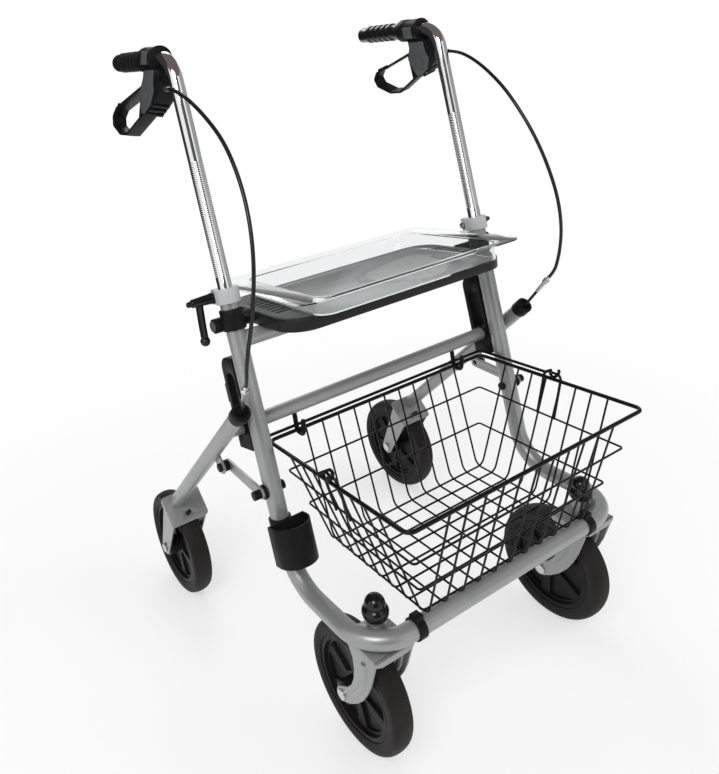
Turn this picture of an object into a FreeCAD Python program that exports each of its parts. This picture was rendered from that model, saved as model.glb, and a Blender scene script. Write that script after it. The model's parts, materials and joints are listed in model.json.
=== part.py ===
import FreeCAD, Part
import math
import os

V = FreeCAD.Vector

# Four-wheeled walker with seat, tray and wire basket. Millimetres, floor at zero.
# X goes across, the casters and basket are towards -Y, the user walks behind at +Y.

# Frame
upright_x = 250.0
rake = 13.5
seat_tube_y = -34.5
seat_tube_z = 600.0
bottom_rail_z = 240.0
front_bar_y = -302.5
upright_top = 72.0
upright_bend_r = 75.0
front_corner_r = 60.0
frame_od = 28.0
frame_wall = 1.5
seat_tube_od = 25.0
seat_tube_wall = 1.5

# Clearances and fits
running_gap = 0.3
pin_fit = 0.05
overrun = 5.0

# Caster sleeves, ball caps and front forks
sleeve_x = 213.0
sleeve_y = -265.5
sleeve_od = 27.0
sleeve_bottom_z = 226.0
sleeve_top_z = 262.0
sleeve_web = 14.0
stem_d = 14.0
stem_rise = 8.0
ball_r = 16.0
ball_lift = 9.0
ball_bore_r = 9.0
fork_thickness = 3.0
fork_lip = 14.0
fork_half_width = 34.0
fork_top_z = 222.0
fork_front = 37.0
fork_back = 30.0
fork_corner_r = 12.0
fork_boss_d = 26.0
arm_inner = 30.0
arm_front = 25.0
arm_back = 21.0
arm_end_r = 17.0
arm_bow_share = 0.42

# Wheels and axles
wheel_r = 100.0
tyre_width = 36.0
tyre_shoulder = 10.0
tyre_inner_r = 78.0
tyre_bead = 2.0
hub_rim = 8.0
hub_rim_width = 30.0
hub_web = 18.0
hub_boss_r = 17.0
hub_pockets = 6
hub_pocket_angle = 42.0
hub_pocket_depth = 5.0
hub_pocket_margin = 5.0
axle_d = 10.0
axle_nut_r = 8.5
axle_nut = 3.5
front_wheel_y = -216.5
rear_wheel_x = 278.0
rear_wheel_y = 259.5

# Rear frame
crossbar_s = -130.0
crossbar_off = 28.4
crossbar_od = 22.0
crossbar_wall = 1.5
leg_x = 288.0
leg_od = 25.0
leg_wall = 1.5
leg_top = 69.0
axle_under_leg = 54.6
axle_past_leg = 106.0
leg_cap_r = 14.0
leg_cap_rise = 8.0
leg_cap_grip = 12.0
leg_cap_floor = 3.0
leg_cap_mouth_r = 9.0
rear_plate_half = 38.0
rear_plate_behind = 15.0
rear_plate_ahead = 44.0
rear_plate_corner_r = 8.0
rear_arm_inner = 31.0
rear_arm_behind = 6.0
rear_arm_ahead = 42.0
rear_arm_end_r = 14.0

# Brake shoes
shoe_gap = 3.0
shoe_half_width = 15.0
shoe_behind = 12.0
shoe_ahead = 39.0
shoe_stem_d = 7.0
shoe_stem = 14.0
shoe_depth = 30.0

# Fold links
link_s = -226.0
link_along = 91.0
link_below = 26.8
link_width = 18.0
link_thickness = 4.0
link_spacer = 4.0
link_spacer_r = 11.0
bolt_d = 8.0
bolt_head = 4.5
bolt_head_r = 7.0
cap_nut = 11.0
cap_nut_wall = 4.0
lug_thickness = 3.0
lug_r = 11.0
lug_x = 282.0
lug_open_share = 1.15
lug_spacer_r = 9.0

# Guide rails, slider bushes and fold latch
rail_bottom = -166.0
rail_top = -24.0
rail_front = 10.0
rail_rear = 50.0
rail_half_width = 13.0
rail_top_r = 20.0
fold_travel = 70.0
bush_wall = 1.25
bush_flange = 1.3
bush_flange_r = 14.5
latch_s = -84.0
latch_height = 29.0
latch_width = 14.0
latch_reach = 20.0
latch_corner_r = 4.0
latch_stem_d = 8.0

# Height collars, clamp bolts and clamp levers
collar_bottom = 57.0
collar_top = 79.0
collar_r = 18.25
collar_ear = 10.0
collar_ear_inner = 7.0
collar_ear_outer = 12.0
collar_slit = 1.2
clamp_s = 67.0
clamp_off = 22.5
clamp_bolt_d = 5.0
clamp_head_r = 5.5
clamp_head = 5.0
hub_cone = 43.0
hub_cone_base_r = 8.5
hub_cone_tip_r = 7.0
hub_bolt_share = 0.6
clamp_arm = 60.0
clamp_arm_width = 11.0
clamp_arm_thickness = 7.0
clamp_arm_share = 0.55
clamp_ball_r = 7.5
handle_bush = 40.0

# Handle tubes and grips
handle_od = 22.0
handle_wall = 1.5
handle_bottom = -80.0
handle_bend_r = 40.0
grip_z = 998.0
grip_gap = 2.0
grip_length = 114.0
grip_r = 13.5
grip_rib = 1.8
grip_ribs = 5
grip_rib_pitch = 15.0
grip_rib_width = 8.0
grip_end_wall = 4.0
grip_collar_r = 16.0
grip_collar = 6.0

# Brake units
unit_tilt = 14.0
unit_behind_bend = 2.9
unit_ring = 49.0
unit_ring_r = 18.0
unit_half_width = 14.0
unit_length = 104.0
unit_drop = 80.0
unit_outline_shares = [(0.0, 0.17), (-0.12, 0.21), (-0.14, 0.32), (-0.33, 0.44), (-0.33, 0.59),
                       (-0.17, 0.78), (0.10, 1.0), (0.23, 1.0), (0.31, 0.82), (0.36, 0.60),
                       (0.27, 0.34), (0.27, 0.17)]
lever_half_width = 11.0
lever_pivot_back = 12.0
lever_pivot_drop = 58.0
lever_pin_r = 3.0
lever_hub_r = 9.0
lever_strap = 4.0
lever_length = 140.0
lever_drop = 55.0
lever_outline_shares = [(-0.03, 0.25), (0.51, 0.98), (0.72, 1.0), (0.96, 0.76), (1.0, 0.48),
                        (0.91, 0.22), (0.74, 0.08), (0.20, -0.36), (-0.03, -0.18)]
lever_corner_r = 6.0
lever_root_share = 0.20
lever_slot_ahead = 15.0
lever_slot_top = 30.0

# Brake cables, adjusters and boots
cable_d = 5.5
cable_bend_share = 0.45
cable_route = [V(265.6, 61.2, 957.5), V(265.6, 43.5, 957.5), V(265.0, 13.5, 951.5),
               V(263.0, -20.5, 935.5), V(260.5, -52.5, 914.5), V(259.0, -80.5, 891.5),
               V(260.2, -105.5, 861.5), V(263.5, -126.5, 829.5), V(268.2, -142.0, 797.0),
               V(274.0, -153.0, 764.0), V(281.0, -160.0, 730.5), V(288.0, -162.3, 697.0),
               V(294.5, -160.3, 663.0), V(299.6, -154.0, 631.0), V(301.0, -148.5, 609.0),
               V(300.2, -143.8, 591.4), V(298.2, -135.1, 579.3)]
adjuster = 37.0
adjuster_r = 3.5
adjuster_nut = 7.0
adjuster_nut_r = 5.5
adjuster_nut_share = 0.2
boot_r = 2.5
boot_entry = 8.0

# Seat, brackets and pivot pins
seat_side_gap = 24.0
seat_front = -92.0
seat_back = 110.0
seat_thickness = 20.0
seat_corner_r = 45.0
seat_edge_r = 6.0
seat_slope = 4.8
seat_pivot_back = 24.0
seat_pivot_rise = 22.0
seat_slots = 7
seat_slot_pitch = 13.0
seat_slot = 26.0
seat_slot_width = 5.0
seat_slot_depth = 4.0
seat_slot_inset = 14.0
bracket_bottom = 17.5
bracket_top = 48.0
bracket_wall = 3.5
bracket_boss_r = 11.0
bracket_boss = 10.0
seat_pin_r = 4.0
seat_pin_depth = 14.0
seat_pin_head_r = 8.0
seat_pin_head = 3.0

# Tray
tray_past_side = 1.0
tray_past_front = 34.0
tray_past_back = 18.0
tray_rim_corner_r = 28.0
tray_ledge_side = 39.0
tray_ledge_front = 13.0
tray_ledge_back = 29.0
tray_corner_r = 24.0
tray_depth = 28.0
tray_wall = 2.0

# Basket, bail, hangers and clips
basket_rim_half = 225.0
basket_rim_back = -46.5
basket_rim_front = -356.5
basket_rim_back_z = 431.0
basket_tilt = 2.0
basket_base_half = 163.0
basket_base_back = -96.5
basket_base_front = -308.5
basket_lift = 1.0
basket_wire = 3.0
basket_rim_wire = 6.0
basket_rim_r = 32.0
basket_base_r = 16.0
basket_long_wire_count = 11
basket_cross_wire_count = 8
basket_long_pitch = 31.5
basket_cross_pitch = 28.0
basket_ring_shares = [0.37, 0.70]
bail_wire = 5.0
bail_inset = 4.0
bail_back_inset = 5.0
bail_corner_r = 28.0
eyelet_r = 6.0
eyelet = 3.5
hanger_x = 168.0
hanger_width = 12.0
hanger_wall = 2.4
hanger_lip = 22.0
hanger_lean = 35.0
clip_gap = 4.0
clip_width = 14.0
clip_wall = 2.5
clip_crest = 5.0

# Cup holder on the user's right upright
cup_top = -270.0
cup_bottom = -330.0
cup_half = 31.0
cup_flat = 16.0
cup_depth = 42.0
cup_wall = 2.2
cup_clip = 16.0
cup_clip_wall = 3.0
cup_side_share = 0.35

# Directions and places that follow from the sizes above
up = V(0, math.sin(math.radians(rake)), math.cos(math.radians(rake)))
back = V(0, math.cos(math.radians(rake)), -math.sin(math.radians(rake)))
across = V(1, 0, 0)
rearward = V(0, 1, 0)
upward = V(0, 0, 1)
frame_r = 0.5 * frame_od
leg_r = 0.5 * leg_od
crossbar_r = 0.5 * crossbar_od
bolt_r = 0.5 * bolt_d
axle_r = 0.5 * axle_d
handle_r = 0.5 * handle_od
seat_half = upright_x - frame_r - seat_side_gap
tray_rim_half = seat_half + tray_past_side
tray_rim_front = seat_front - tray_past_front
tray_rim_back = seat_back + tray_past_back


def on_upright(along, off, x=upright_x):
    """A point of the upright's own frame: along its axis from the seat tube, and behind it."""
    return V(x, seat_tube_y, seat_tube_z) + up * along + back * off


# The handle tube bends back where the upright's line reaches the grip's height.
bend_s = (grip_z - seat_tube_z) / math.cos(math.radians(rake))
bend_trim = handle_bend_r * math.tan(0.5 * math.radians(90 - rake))
unit_front = on_upright(bend_s, 0).y + bend_trim + unit_behind_bend
unit_back = unit_front + unit_ring
grip_start = unit_back + grip_gap
grip_end = grip_start + grip_length

# Each leg runs from the crossbar so that the rear axle lies under its line and past its foot.
crossbar = on_upright(crossbar_s, crossbar_off, 0)
rear_axle = V(0, rear_wheel_y, wheel_r)
axle_reach = (rear_axle - crossbar).Length
axle_along = math.sqrt(axle_reach ** 2 - axle_under_leg ** 2)
leg_foot = axle_along - axle_past_leg
axle_down = math.atan2(crossbar.z - wheel_r, rear_wheel_y - crossbar.y)
leg_angle = axle_down - math.asin(axle_under_leg / axle_reach)
down_leg = V(0, math.cos(leg_angle), -math.sin(leg_angle))
under_leg = V(0, -math.sin(leg_angle), -math.cos(leg_angle))


def on_leg(along, below, x=leg_x):
    """A point of the leg's own frame: down its axis from the crossbar, and under it."""
    return V(x, crossbar.y, crossbar.z) + down_leg * along + under_leg * below


def rod(start, end, radius):
    return Part.makeCylinder(radius, (end - start).Length, start, end - start)


def tube(start, end, outer_r, inner_r):
    return rod(start, end, outer_r).cut(rod(start, end, inner_r))


def disc_x(x_low, x_high, centre, radius):
    """A cylinder along X between two planes, round the Y and Z of a centre."""
    return rod(V(x_low, centre.y, centre.z), V(x_high, centre.y, centre.z), radius)


def ring_x(x_low, x_high, centre, outer_r, inner_r):
    return disc_x(x_low, x_high, centre, outer_r).cut(disc_x(x_low, x_high, centre, inner_r))


def box(low, high):
    size = high - low
    return Part.makeBox(size.x, size.y, size.z, low)


def slab(points, reach):
    """A flat polygon pushed along a vector."""
    return Part.Face(Part.makePolygon(points + [points[0]])).extrude(reach)


def rounded_block(low, high, radius):
    """A box with its four upright edges rounded."""
    block = box(low, high)
    edges = [e for e in block.Edges if abs(e.tangentAt(e.FirstParameter).z) > 0.5]
    return block.makeFillet(radius, edges)


def bent_line(points, radii):
    """Straight runs joined by tangent arcs, one radius for each inner point."""
    edges = []
    start = points[0]
    for before, corner, after, radius in zip(points, points[1:], points[2:], radii):
        into = (corner - before).normalize()
        out = (after - corner).normalize()
        turn = into.getAngle(out)
        trim = radius * math.tan(0.5 * turn)
        first = corner - into * trim
        last = corner + out * trim
        inward = (out - into).normalize()
        middle = corner + inward * (radius / math.cos(0.5 * turn) - radius)
        edges.append(Part.LineSegment(start, first).toShape())
        edges.append(Part.Arc(first, middle, last).toShape())
        start = last
    edges.append(Part.LineSegment(start, points[-1]).toShape())
    return Part.Wire(edges)


def bar_along(path, radius):
    """A round bar along a path of lines and arcs."""
    first = path.Edges[0]
    start = first.valueAt(first.FirstParameter)
    heading = first.tangentAt(first.FirstParameter)
    section = Part.Wire(Part.makeCircle(radius, start, heading))
    return path.makePipeShell([section], True, False)


def mirrored(shape):
    return shape.mirror(V(0, 0, 0), across)


def save(name, *shapes):
    solids = [solid for shape in shapes for solid in shape.Solids]
    whole = solids[0] if len(solids) == 1 else Part.makeCompound(solids)
    whole.exportStep(os.path.join("parts", name + ".step"))


def save_sides(name, shape):
    """The left piece lies at +X, the right one is its mirror image."""
    save(name + "_left", shape)
    save(name + "_right", mirrored(shape))


def save_pair(name, shape):
    save(name, shape, mirrored(shape))


def frame_path():
    knee_y = seat_tube_y + (bottom_rail_z - seat_tube_z) * math.tan(math.radians(rake))
    left = [on_upright(upright_top, 0), V(upright_x, knee_y, bottom_rail_z),
            V(upright_x, front_bar_y, bottom_rail_z)]
    right = [V(-p.x, p.y, p.z) for p in reversed(left)]
    radii = [upright_bend_r, front_corner_r, front_corner_r, upright_bend_r]
    return bent_line(left + right, radii)


def frame_body():
    return bar_along(frame_path(), frame_r)


def link_pivot():
    return on_upright(link_s, 0)


def front_tube(body):
    solid = body.cut(bar_along(frame_path(), frame_r - frame_wall))
    pivot = link_pivot()
    hole = disc_x(-upright_x - frame_od, upright_x + frame_od, pivot, bolt_r)
    return solid.cut(hole)


def seat_tube():
    outer_r = 0.5 * seat_tube_od
    bar = tube(on_upright(0, 0, -upright_x), on_upright(0, 0), outer_r, outer_r - seat_tube_wall)
    upright = rod(on_upright(-frame_od, 0), on_upright(frame_od, 0), frame_r)
    return bar.cut(upright).cut(mirrored(upright))


def caster_sleeve(body):
    centre = V(sleeve_x, sleeve_y, sleeve_bottom_z)
    top = V(sleeve_x, sleeve_y, sleeve_top_z)
    corner = V(upright_x - front_corner_r, front_bar_y + front_corner_r, sleeve_bottom_z)
    outward = (centre - corner).normalize()
    sideways = upward.cross(outward)
    half = 0.5 * sleeve_web
    outward = outward * (front_corner_r - (centre - corner).Length)
    foot = V(centre.x, centre.y, bottom_rail_z - half)
    web = slab([foot - sideways * half, foot + sideways * half,
                foot + sideways * half + outward, foot - sideways * half + outward],
               upward * sleeve_web)
    sleeve = rod(centre, top, 0.5 * sleeve_od).fuse(web).cut(body)
    return sleeve.cut(rod(centre, top, 0.5 * stem_d + pin_fit))


def ball_cap():
    centre = V(sleeve_x, sleeve_y, sleeve_top_z + ball_lift)
    ball = Part.makeSphere(ball_r, centre)
    base = V(sleeve_x, sleeve_y, sleeve_top_z)
    above = box(base - V(ball_r, ball_r, 0), base + V(ball_r, ball_r, 2 * ball_r))
    hollow = rod(base, base + upward * (stem_rise + 2 * running_gap), ball_bore_r)
    return ball.common(above).cut(hollow)


def tangent_arm(first, second, centre, radius, reach):
    """A flat arm from an edge to a round end."""
    middle = (first + second) * 0.5
    side = (second - first).normalize()
    along = (centre - middle).normalize()
    side = (side - along * side.dot(along)).normalize()
    body = slab([first, second, centre + side * radius, centre - side * radius], reach)
    return body.fuse(rod(centre, centre + reach, radius))


def caster_arm(x):
    """A pressed arm that bows forward on its way down to the axle."""
    axle = V(x, front_wheel_y, wheel_r)
    top = fork_top_z - fork_thickness
    front_top = V(x, sleeve_y - arm_front, top)
    back_top = V(x, sleeve_y + arm_back, top)
    along = (axle - (front_top + back_top) * 0.5).normalize()
    side = V(0, -along.z, along.y)
    if side.y > 0:
        side = side * -1
    front_low = axle + side * arm_end_r
    back_low = axle - side * arm_end_r
    bow = side * (arm_bow_share * arm_end_r)
    front_mid = (front_top + front_low) * 0.5 + bow
    back_mid = (back_top + back_low) * 0.5 + bow
    edges = [Part.Arc(front_top, front_mid, front_low).toShape(),
             Part.Arc(front_low, axle + along * arm_end_r, back_low).toShape(),
             Part.Arc(back_low, back_mid, back_top).toShape(),
             Part.LineSegment(back_top, front_top).toShape()]
    return Part.Face(Part.Wire(edges)).extrude(across * fork_thickness)


def caster_fork():
    low = V(sleeve_x - fork_half_width, sleeve_y - fork_front, fork_top_z - fork_thickness)
    high = V(sleeve_x + fork_half_width, sleeve_y + fork_back, fork_top_z)
    fork = rounded_block(low, high, fork_corner_r)
    lip_low = V(low.x + fork_corner_r, low.y, fork_top_z - fork_lip)
    lip_high = V(high.x - fork_corner_r, low.y + fork_thickness, high.z)
    fork = fork.fuse(box(lip_low, lip_high))
    fork = fork.fuse(caster_arm(sleeve_x + arm_inner))
    fork = fork.fuse(caster_arm(sleeve_x - arm_inner - fork_thickness))
    seat = V(sleeve_x, sleeve_y, fork_top_z)
    boss_top = V(sleeve_x, sleeve_y, sleeve_bottom_z - running_gap)
    fork = fork.fuse(rod(seat, boss_top, 0.5 * fork_boss_d))
    fork = fork.fuse(rod(seat, V(sleeve_x, sleeve_y, sleeve_top_z + stem_rise), 0.5 * stem_d))
    axle = V(sleeve_x, front_wheel_y, wheel_r)
    hole = disc_x(sleeve_x - fork_half_width, sleeve_x + fork_half_width, axle, axle_r)
    return fork.cut(hole).removeSplitter()


def axle_with_nuts(x, y, inner):
    """A bolt through both fork arms with its head and nut outside them."""
    centre = V(x, y, wheel_r)
    outer = inner + fork_thickness
    end = outer + axle_nut
    solid = disc_x(x - end, x + end, centre, axle_r)
    solid = solid.fuse(disc_x(x - end, x - outer, centre, axle_nut_r))
    return solid.fuse(disc_x(x + outer, x + end, centre, axle_nut_r))


def turned(points, x, y):
    """A ring turned about the wheel's axis from points of (across, radius)."""
    outline = [V(p[0], 0, p[1]) for p in points]
    face = Part.Face(Part.makePolygon(outline + [outline[0]]))
    ring = face.revolve(V(0, 0, 0), across, 360)
    ring.translate(V(x, y, wheel_r))
    return ring


def tyre(x, y):
    half = 0.5 * tyre_width
    flat = half - tyre_shoulder
    shoulder_r = wheel_r - tyre_shoulder
    seat = half - tyre_bead
    turn = math.sqrt(0.5)
    edges = [Part.LineSegment(V(-seat, 0, tyre_inner_r), V(-half, 0, tyre_inner_r + tyre_bead)),
             Part.LineSegment(V(-half, 0, tyre_inner_r + tyre_bead), V(-half, 0, shoulder_r)),
             Part.Arc(V(-half, 0, shoulder_r),
                      V(-flat - turn * tyre_shoulder, 0, shoulder_r + turn * tyre_shoulder),
                      V(-flat, 0, wheel_r)),
             Part.LineSegment(V(-flat, 0, wheel_r), V(flat, 0, wheel_r)),
             Part.Arc(V(flat, 0, wheel_r),
                      V(flat + turn * tyre_shoulder, 0, shoulder_r + turn * tyre_shoulder),
                      V(half, 0, shoulder_r)),
             Part.LineSegment(V(half, 0, shoulder_r), V(half, 0, tyre_inner_r + tyre_bead)),
             Part.LineSegment(V(half, 0, tyre_inner_r + tyre_bead), V(seat, 0, tyre_inner_r)),
             Part.LineSegment(V(seat, 0, tyre_inner_r), V(-seat, 0, tyre_inner_r))]
    face = Part.Face(Part.Wire([e.toShape() for e in edges]))
    ring = face.revolve(V(0, 0, 0), across, 360)
    ring.translate(V(x, y, wheel_r))
    return ring


def hub(x, y, inner):
    rim_half = 0.5 * hub_rim_width
    web_half = 0.5 * hub_web
    boss_half = inner - running_gap
    rim_r = tyre_inner_r - hub_rim
    bore_r = axle_r + pin_fit
    points = [(-boss_half, bore_r), (-boss_half, hub_boss_r), (-web_half, hub_boss_r),
              (-web_half, rim_r), (-rim_half, rim_r), (-rim_half, tyre_inner_r),
              (rim_half, tyre_inner_r), (rim_half, rim_r), (web_half, rim_r),
              (web_half, hub_boss_r), (boss_half, hub_boss_r), (boss_half, bore_r)]
    solid = turned(points, x, y)
    low_r = hub_boss_r + hub_pocket_margin
    high_r = rim_r - hub_pocket_margin
    pockets = []
    for side in (-1, 1):
        floor = V(x + side * (web_half - hub_pocket_depth), y, wheel_r)
        for count in range(hub_pockets):
            reach = across * side
            pie = Part.makeCylinder(high_r, hub_pocket_depth + overrun, floor, reach,
                                    hub_pocket_angle)
            core = Part.makeCylinder(low_r, hub_pocket_depth + overrun, floor, reach)
            pocket = pie.cut(core)
            pocket.rotate(floor, reach, count * 360 / hub_pockets)
            pockets.append(pocket)
    return solid.cut(Part.makeCompound(pockets))


def lug_hole():
    return on_leg(link_along, link_below)


def leg_tube():
    top = on_leg(-leg_top, 0)
    foot = on_leg(leg_foot, 0)
    bore = rod(top, foot, leg_r - leg_wall)
    eye = lug_hole()
    near = V(lug_x, eye.y, eye.z)
    root = on_leg(link_along, 0, lug_x)
    wide = lug_open_share * lug_r
    lug = slab([root - down_leg * wide, root + down_leg * wide,
                near + down_leg * lug_r, near - down_leg * lug_r], across * lug_thickness)
    lug = lug.fuse(rod(near, near + across * lug_thickness, lug_r))
    leg = rod(top, foot, leg_r).fuse(lug).cut(bore)
    return leg.cut(disc_x(lug_x - overrun, lug_x + lug_thickness + overrun, eye, bolt_r))


def lower_crossbar():
    start = V(-leg_x, crossbar.y, crossbar.z)
    end = V(leg_x, crossbar.y, crossbar.z)
    bar = tube(start, end, crossbar_r, crossbar_r - crossbar_wall)
    leg = rod(on_leg(-leg_top, 0), on_leg(leg_top, 0), leg_r)
    return bar.cut(leg).cut(mirrored(leg))


def leg_end_cap(boot):
    tip = on_leg(-leg_top - leg_cap_rise, 0)
    floor = on_leg(-leg_top - leg_cap_floor, 0)
    seat = on_leg(-leg_top, 0)
    skirt = on_leg(-leg_top + leg_cap_grip, 0)
    cap = rod(tip, skirt, leg_cap_r).cut(rod(seat, skirt, leg_r))
    return cap.cut(rod(tip, floor, leg_cap_mouth_r)).cut(boot)


def rear_fork():
    near = leg_foot + fork_thickness
    x_low = rear_wheel_x - rear_plate_half
    x_high = rear_wheel_x + rear_plate_half
    corners = [on_leg(leg_foot, -rear_plate_behind, x_low),
               on_leg(leg_foot, -rear_plate_behind, x_high),
               on_leg(leg_foot, rear_plate_ahead, x_high),
               on_leg(leg_foot, rear_plate_ahead, x_low)]
    plate = slab(corners, down_leg * fork_thickness)
    edges = [e for e in plate.Edges if abs(e.tangentAt(e.FirstParameter).dot(down_leg)) > 0.9]
    fork = plate.makeFillet(rear_plate_corner_r, edges)
    axle = V(0, rear_wheel_y, wheel_r)
    for x in (rear_wheel_x + rear_arm_inner, rear_wheel_x - rear_arm_inner - fork_thickness):
        arm = tangent_arm(on_leg(near, -rear_arm_behind, x), on_leg(near, rear_arm_ahead, x),
                          V(x, axle.y, axle.z), rear_arm_end_r, across * fork_thickness)
        fork = fork.fuse(arm)
    fork = fork.cut(disc_x(x_low, x_high, axle, axle_r))
    stem = rod(on_leg(leg_foot - overrun, shoe_place(), rear_wheel_x),
               on_leg(near + overrun, shoe_place(), rear_wheel_x),
               0.5 * shoe_stem_d + running_gap)
    return fork.cut(stem).removeSplitter()


def shoe_place():
    """The shoe's stem passes through the plate just ahead of the leg."""
    return 0.5 * (leg_r + rear_plate_ahead)


def brake_shoe():
    near = leg_foot + fork_thickness + running_gap
    x_low = rear_wheel_x - shoe_half_width
    ends = [on_leg(near, -shoe_behind, x_low), on_leg(near, shoe_ahead, x_low),
            on_leg(near + shoe_depth, shoe_ahead, x_low),
            on_leg(near + shoe_depth, -shoe_behind, x_low)]
    block = slab(ends, across * (2 * shoe_half_width))
    wheel = disc_x(x_low - overrun, x_low + tyre_width + overrun,
                   V(0, rear_wheel_y, wheel_r), wheel_r + shoe_gap)
    block = block.cut(wheel)
    stem = rod(on_leg(leg_foot - shoe_stem, shoe_place(), rear_wheel_x),
               on_leg(near + running_gap, shoe_place(), rear_wheel_x), 0.5 * shoe_stem_d)
    return block.fuse(stem)


def link_place():
    """Where the link's inner face lies, outside the upright and its spacer."""
    return upright_x + frame_r + link_spacer + running_gap


def fold_link():
    low = link_place()
    lower = link_pivot()
    upper = lug_hole()
    lower = V(low, lower.y, lower.z)
    upper = V(low, upper.y, upper.z)
    along = (upper - lower).normalize()
    side = V(0, -along.z, along.y) * (0.5 * link_width)
    bar = slab([lower - side, upper - side, upper + side, lower + side],
               across * link_thickness)
    high = low + link_thickness
    bar = bar.fuse(disc_x(low, high, lower, 0.5 * link_width))
    bar = bar.fuse(disc_x(low, high, upper, 0.5 * link_width))
    bar = bar.cut(disc_x(low, high, lower, bolt_r + pin_fit))
    return bar.cut(disc_x(low, high, upper, bolt_r + running_gap))


def link_bolt():
    """The bolt through the upright, its spacer outside the tube and its cap nut."""
    centre = link_pivot()
    inside = upright_x - frame_r
    outside = upright_x + frame_r
    nut_start = link_place() + link_thickness + running_gap
    nut_end = nut_start + cap_nut
    shank_end = nut_end - cap_nut_wall
    bolt = disc_x(inside, shank_end, centre, bolt_r)
    bolt = bolt.fuse(disc_x(inside - bolt_head, inside, centre, bolt_head_r))
    spacer = ring_x(outside, outside + link_spacer, centre, link_spacer_r, bolt_r)
    nut = disc_x(nut_start, nut_end, centre, bolt_head_r)
    nut = nut.cut(disc_x(nut_start, shank_end, centre, bolt_r))
    body = rod(on_upright(link_s - frame_od, 0), on_upright(link_s + frame_od, 0), frame_r)
    return Part.makeCompound([bolt, spacer.cut(body), nut])


def lug_bolt():
    """The bolt through the leg's lug; it ends just short of the link."""
    centre = lug_hole()
    start = link_place() + link_thickness + running_gap
    lug_end = lug_x + lug_thickness
    bolt = disc_x(start, lug_end, centre, bolt_r)
    bolt = bolt.fuse(disc_x(lug_end, lug_end + bolt_head, centre, bolt_head_r))
    spacer = ring_x(start, lug_x, centre, lug_spacer_r, bolt_r)
    return Part.makeCompound([bolt, spacer])


def bush_r():
    return crossbar_r + pin_fit + bush_wall


def guide_rail():
    x_low = upright_x - rail_half_width
    reach = across * (2 * rail_half_width)
    top_rear = on_upright(rail_top, rail_rear, x_low)
    rail = slab([on_upright(rail_bottom, rail_front, x_low), on_upright(rail_bottom, rail_rear, x_low),
                 top_rear, on_upright(rail_top, rail_front, x_low)], reach)
    edges = [e for e in rail.Edges
             if abs(e.tangentAt(e.FirstParameter).x) > 0.9
             and e.CenterOfMass.distanceToPoint(top_rear + reach * 0.5) < rail_half_width]
    rail = rail.makeFillet(rail_top_r, edges)
    slot_r = bush_r() + running_gap
    bottom = on_upright(crossbar_s, crossbar_off, x_low)
    top = on_upright(crossbar_s + fold_travel, crossbar_off, x_low)
    slot = slab([bottom - back * slot_r, bottom + back * slot_r,
                 top + back * slot_r, top - back * slot_r], reach)
    slot = slot.fuse(rod(bottom, bottom + reach, slot_r)).fuse(rod(top, top + reach, slot_r))
    body = rod(on_upright(rail_bottom - overrun, 0), on_upright(rail_top + overrun, 0), frame_r)
    return rail.cut(slot).cut(body)


def latched_rail():
    """The right rail also holds the latch knob's stem."""
    hole = rod(on_upright(latch_s, crossbar_off, -upright_x),
               on_upright(latch_s, rail_rear + overrun, -upright_x),
               0.5 * latch_stem_d + pin_fit)
    return mirrored(guide_rail()).cut(hole)


def fold_latch_knob():
    x = -upright_x
    start = crossbar_off + bush_r() + 2 * running_gap
    half = 0.5 * latch_height
    x_low = x - 0.5 * latch_width
    foot = rail_rear + running_gap
    stem = rod(on_upright(latch_s, start, x), on_upright(latch_s, foot + 0.5 * latch_reach, x),
               0.5 * latch_stem_d)
    knob = slab([on_upright(latch_s - half, foot, x_low), on_upright(latch_s + half, foot, x_low),
                 on_upright(latch_s + half, foot + latch_reach, x_low),
                 on_upright(latch_s - half, foot + latch_reach, x_low)], across * latch_width)
    edges = [e for e in knob.Edges
             if e.CenterOfMass.sub(on_upright(latch_s, foot, x)).dot(back) > 0.9 * latch_reach]
    return knob.makeFillet(latch_corner_r, edges).fuse(stem)


def slider_bush():
    inner_r = crossbar_r + pin_fit
    low = upright_x - rail_half_width - running_gap
    high = upright_x + rail_half_width + running_gap
    bush = ring_x(low, high, crossbar, bush_r(), inner_r)
    bush = bush.fuse(ring_x(low - bush_flange, low, crossbar, bush_flange_r, inner_r))
    return bush.fuse(ring_x(high, high + bush_flange, crossbar, bush_flange_r, inner_r))


def height_collar():
    low = on_upright(collar_bottom, 0)
    high = on_upright(collar_top, 0)
    ear_off = clamp_off + 0.5 * collar_ear
    x_low = upright_x - collar_ear_inner
    ears = slab([on_upright(collar_bottom, 0, x_low), on_upright(collar_bottom, ear_off, x_low),
                 on_upright(collar_top, ear_off, x_low), on_upright(collar_top, 0, x_low)],
                across * (collar_ear_inner + collar_ear_outer))
    collar = rod(low, high, collar_r).fuse(ears)
    collar = collar.cut(rod(low, on_upright(upright_top, 0), frame_r))
    collar = collar.cut(rod(low, high, handle_r + pin_fit))
    slit = slab([on_upright(collar_bottom, handle_r, upright_x - 0.5 * collar_slit),
                 on_upright(collar_bottom, ear_off + overrun, upright_x - 0.5 * collar_slit),
                 on_upright(collar_top, ear_off + overrun, upright_x - 0.5 * collar_slit),
                 on_upright(collar_top, handle_r, upright_x - 0.5 * collar_slit)],
                across * collar_slit)
    hole = disc_x(x_low, upright_x + collar_ear_outer, clamp_centre(), 0.5 * clamp_bolt_d)
    return collar.cut(slit).cut(hole)


def clamp_centre():
    return on_upright(clamp_s, clamp_off)


def lever_hub_place():
    return upright_x + collar_ear_outer + running_gap


def collar_bolt():
    centre = clamp_centre()
    inside = upright_x - collar_ear_inner
    end = lever_hub_place() + hub_bolt_share * hub_cone
    bolt = disc_x(inside, end, centre, 0.5 * clamp_bolt_d)
    return bolt.fuse(disc_x(inside - clamp_head, inside, centre, clamp_head_r))


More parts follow.
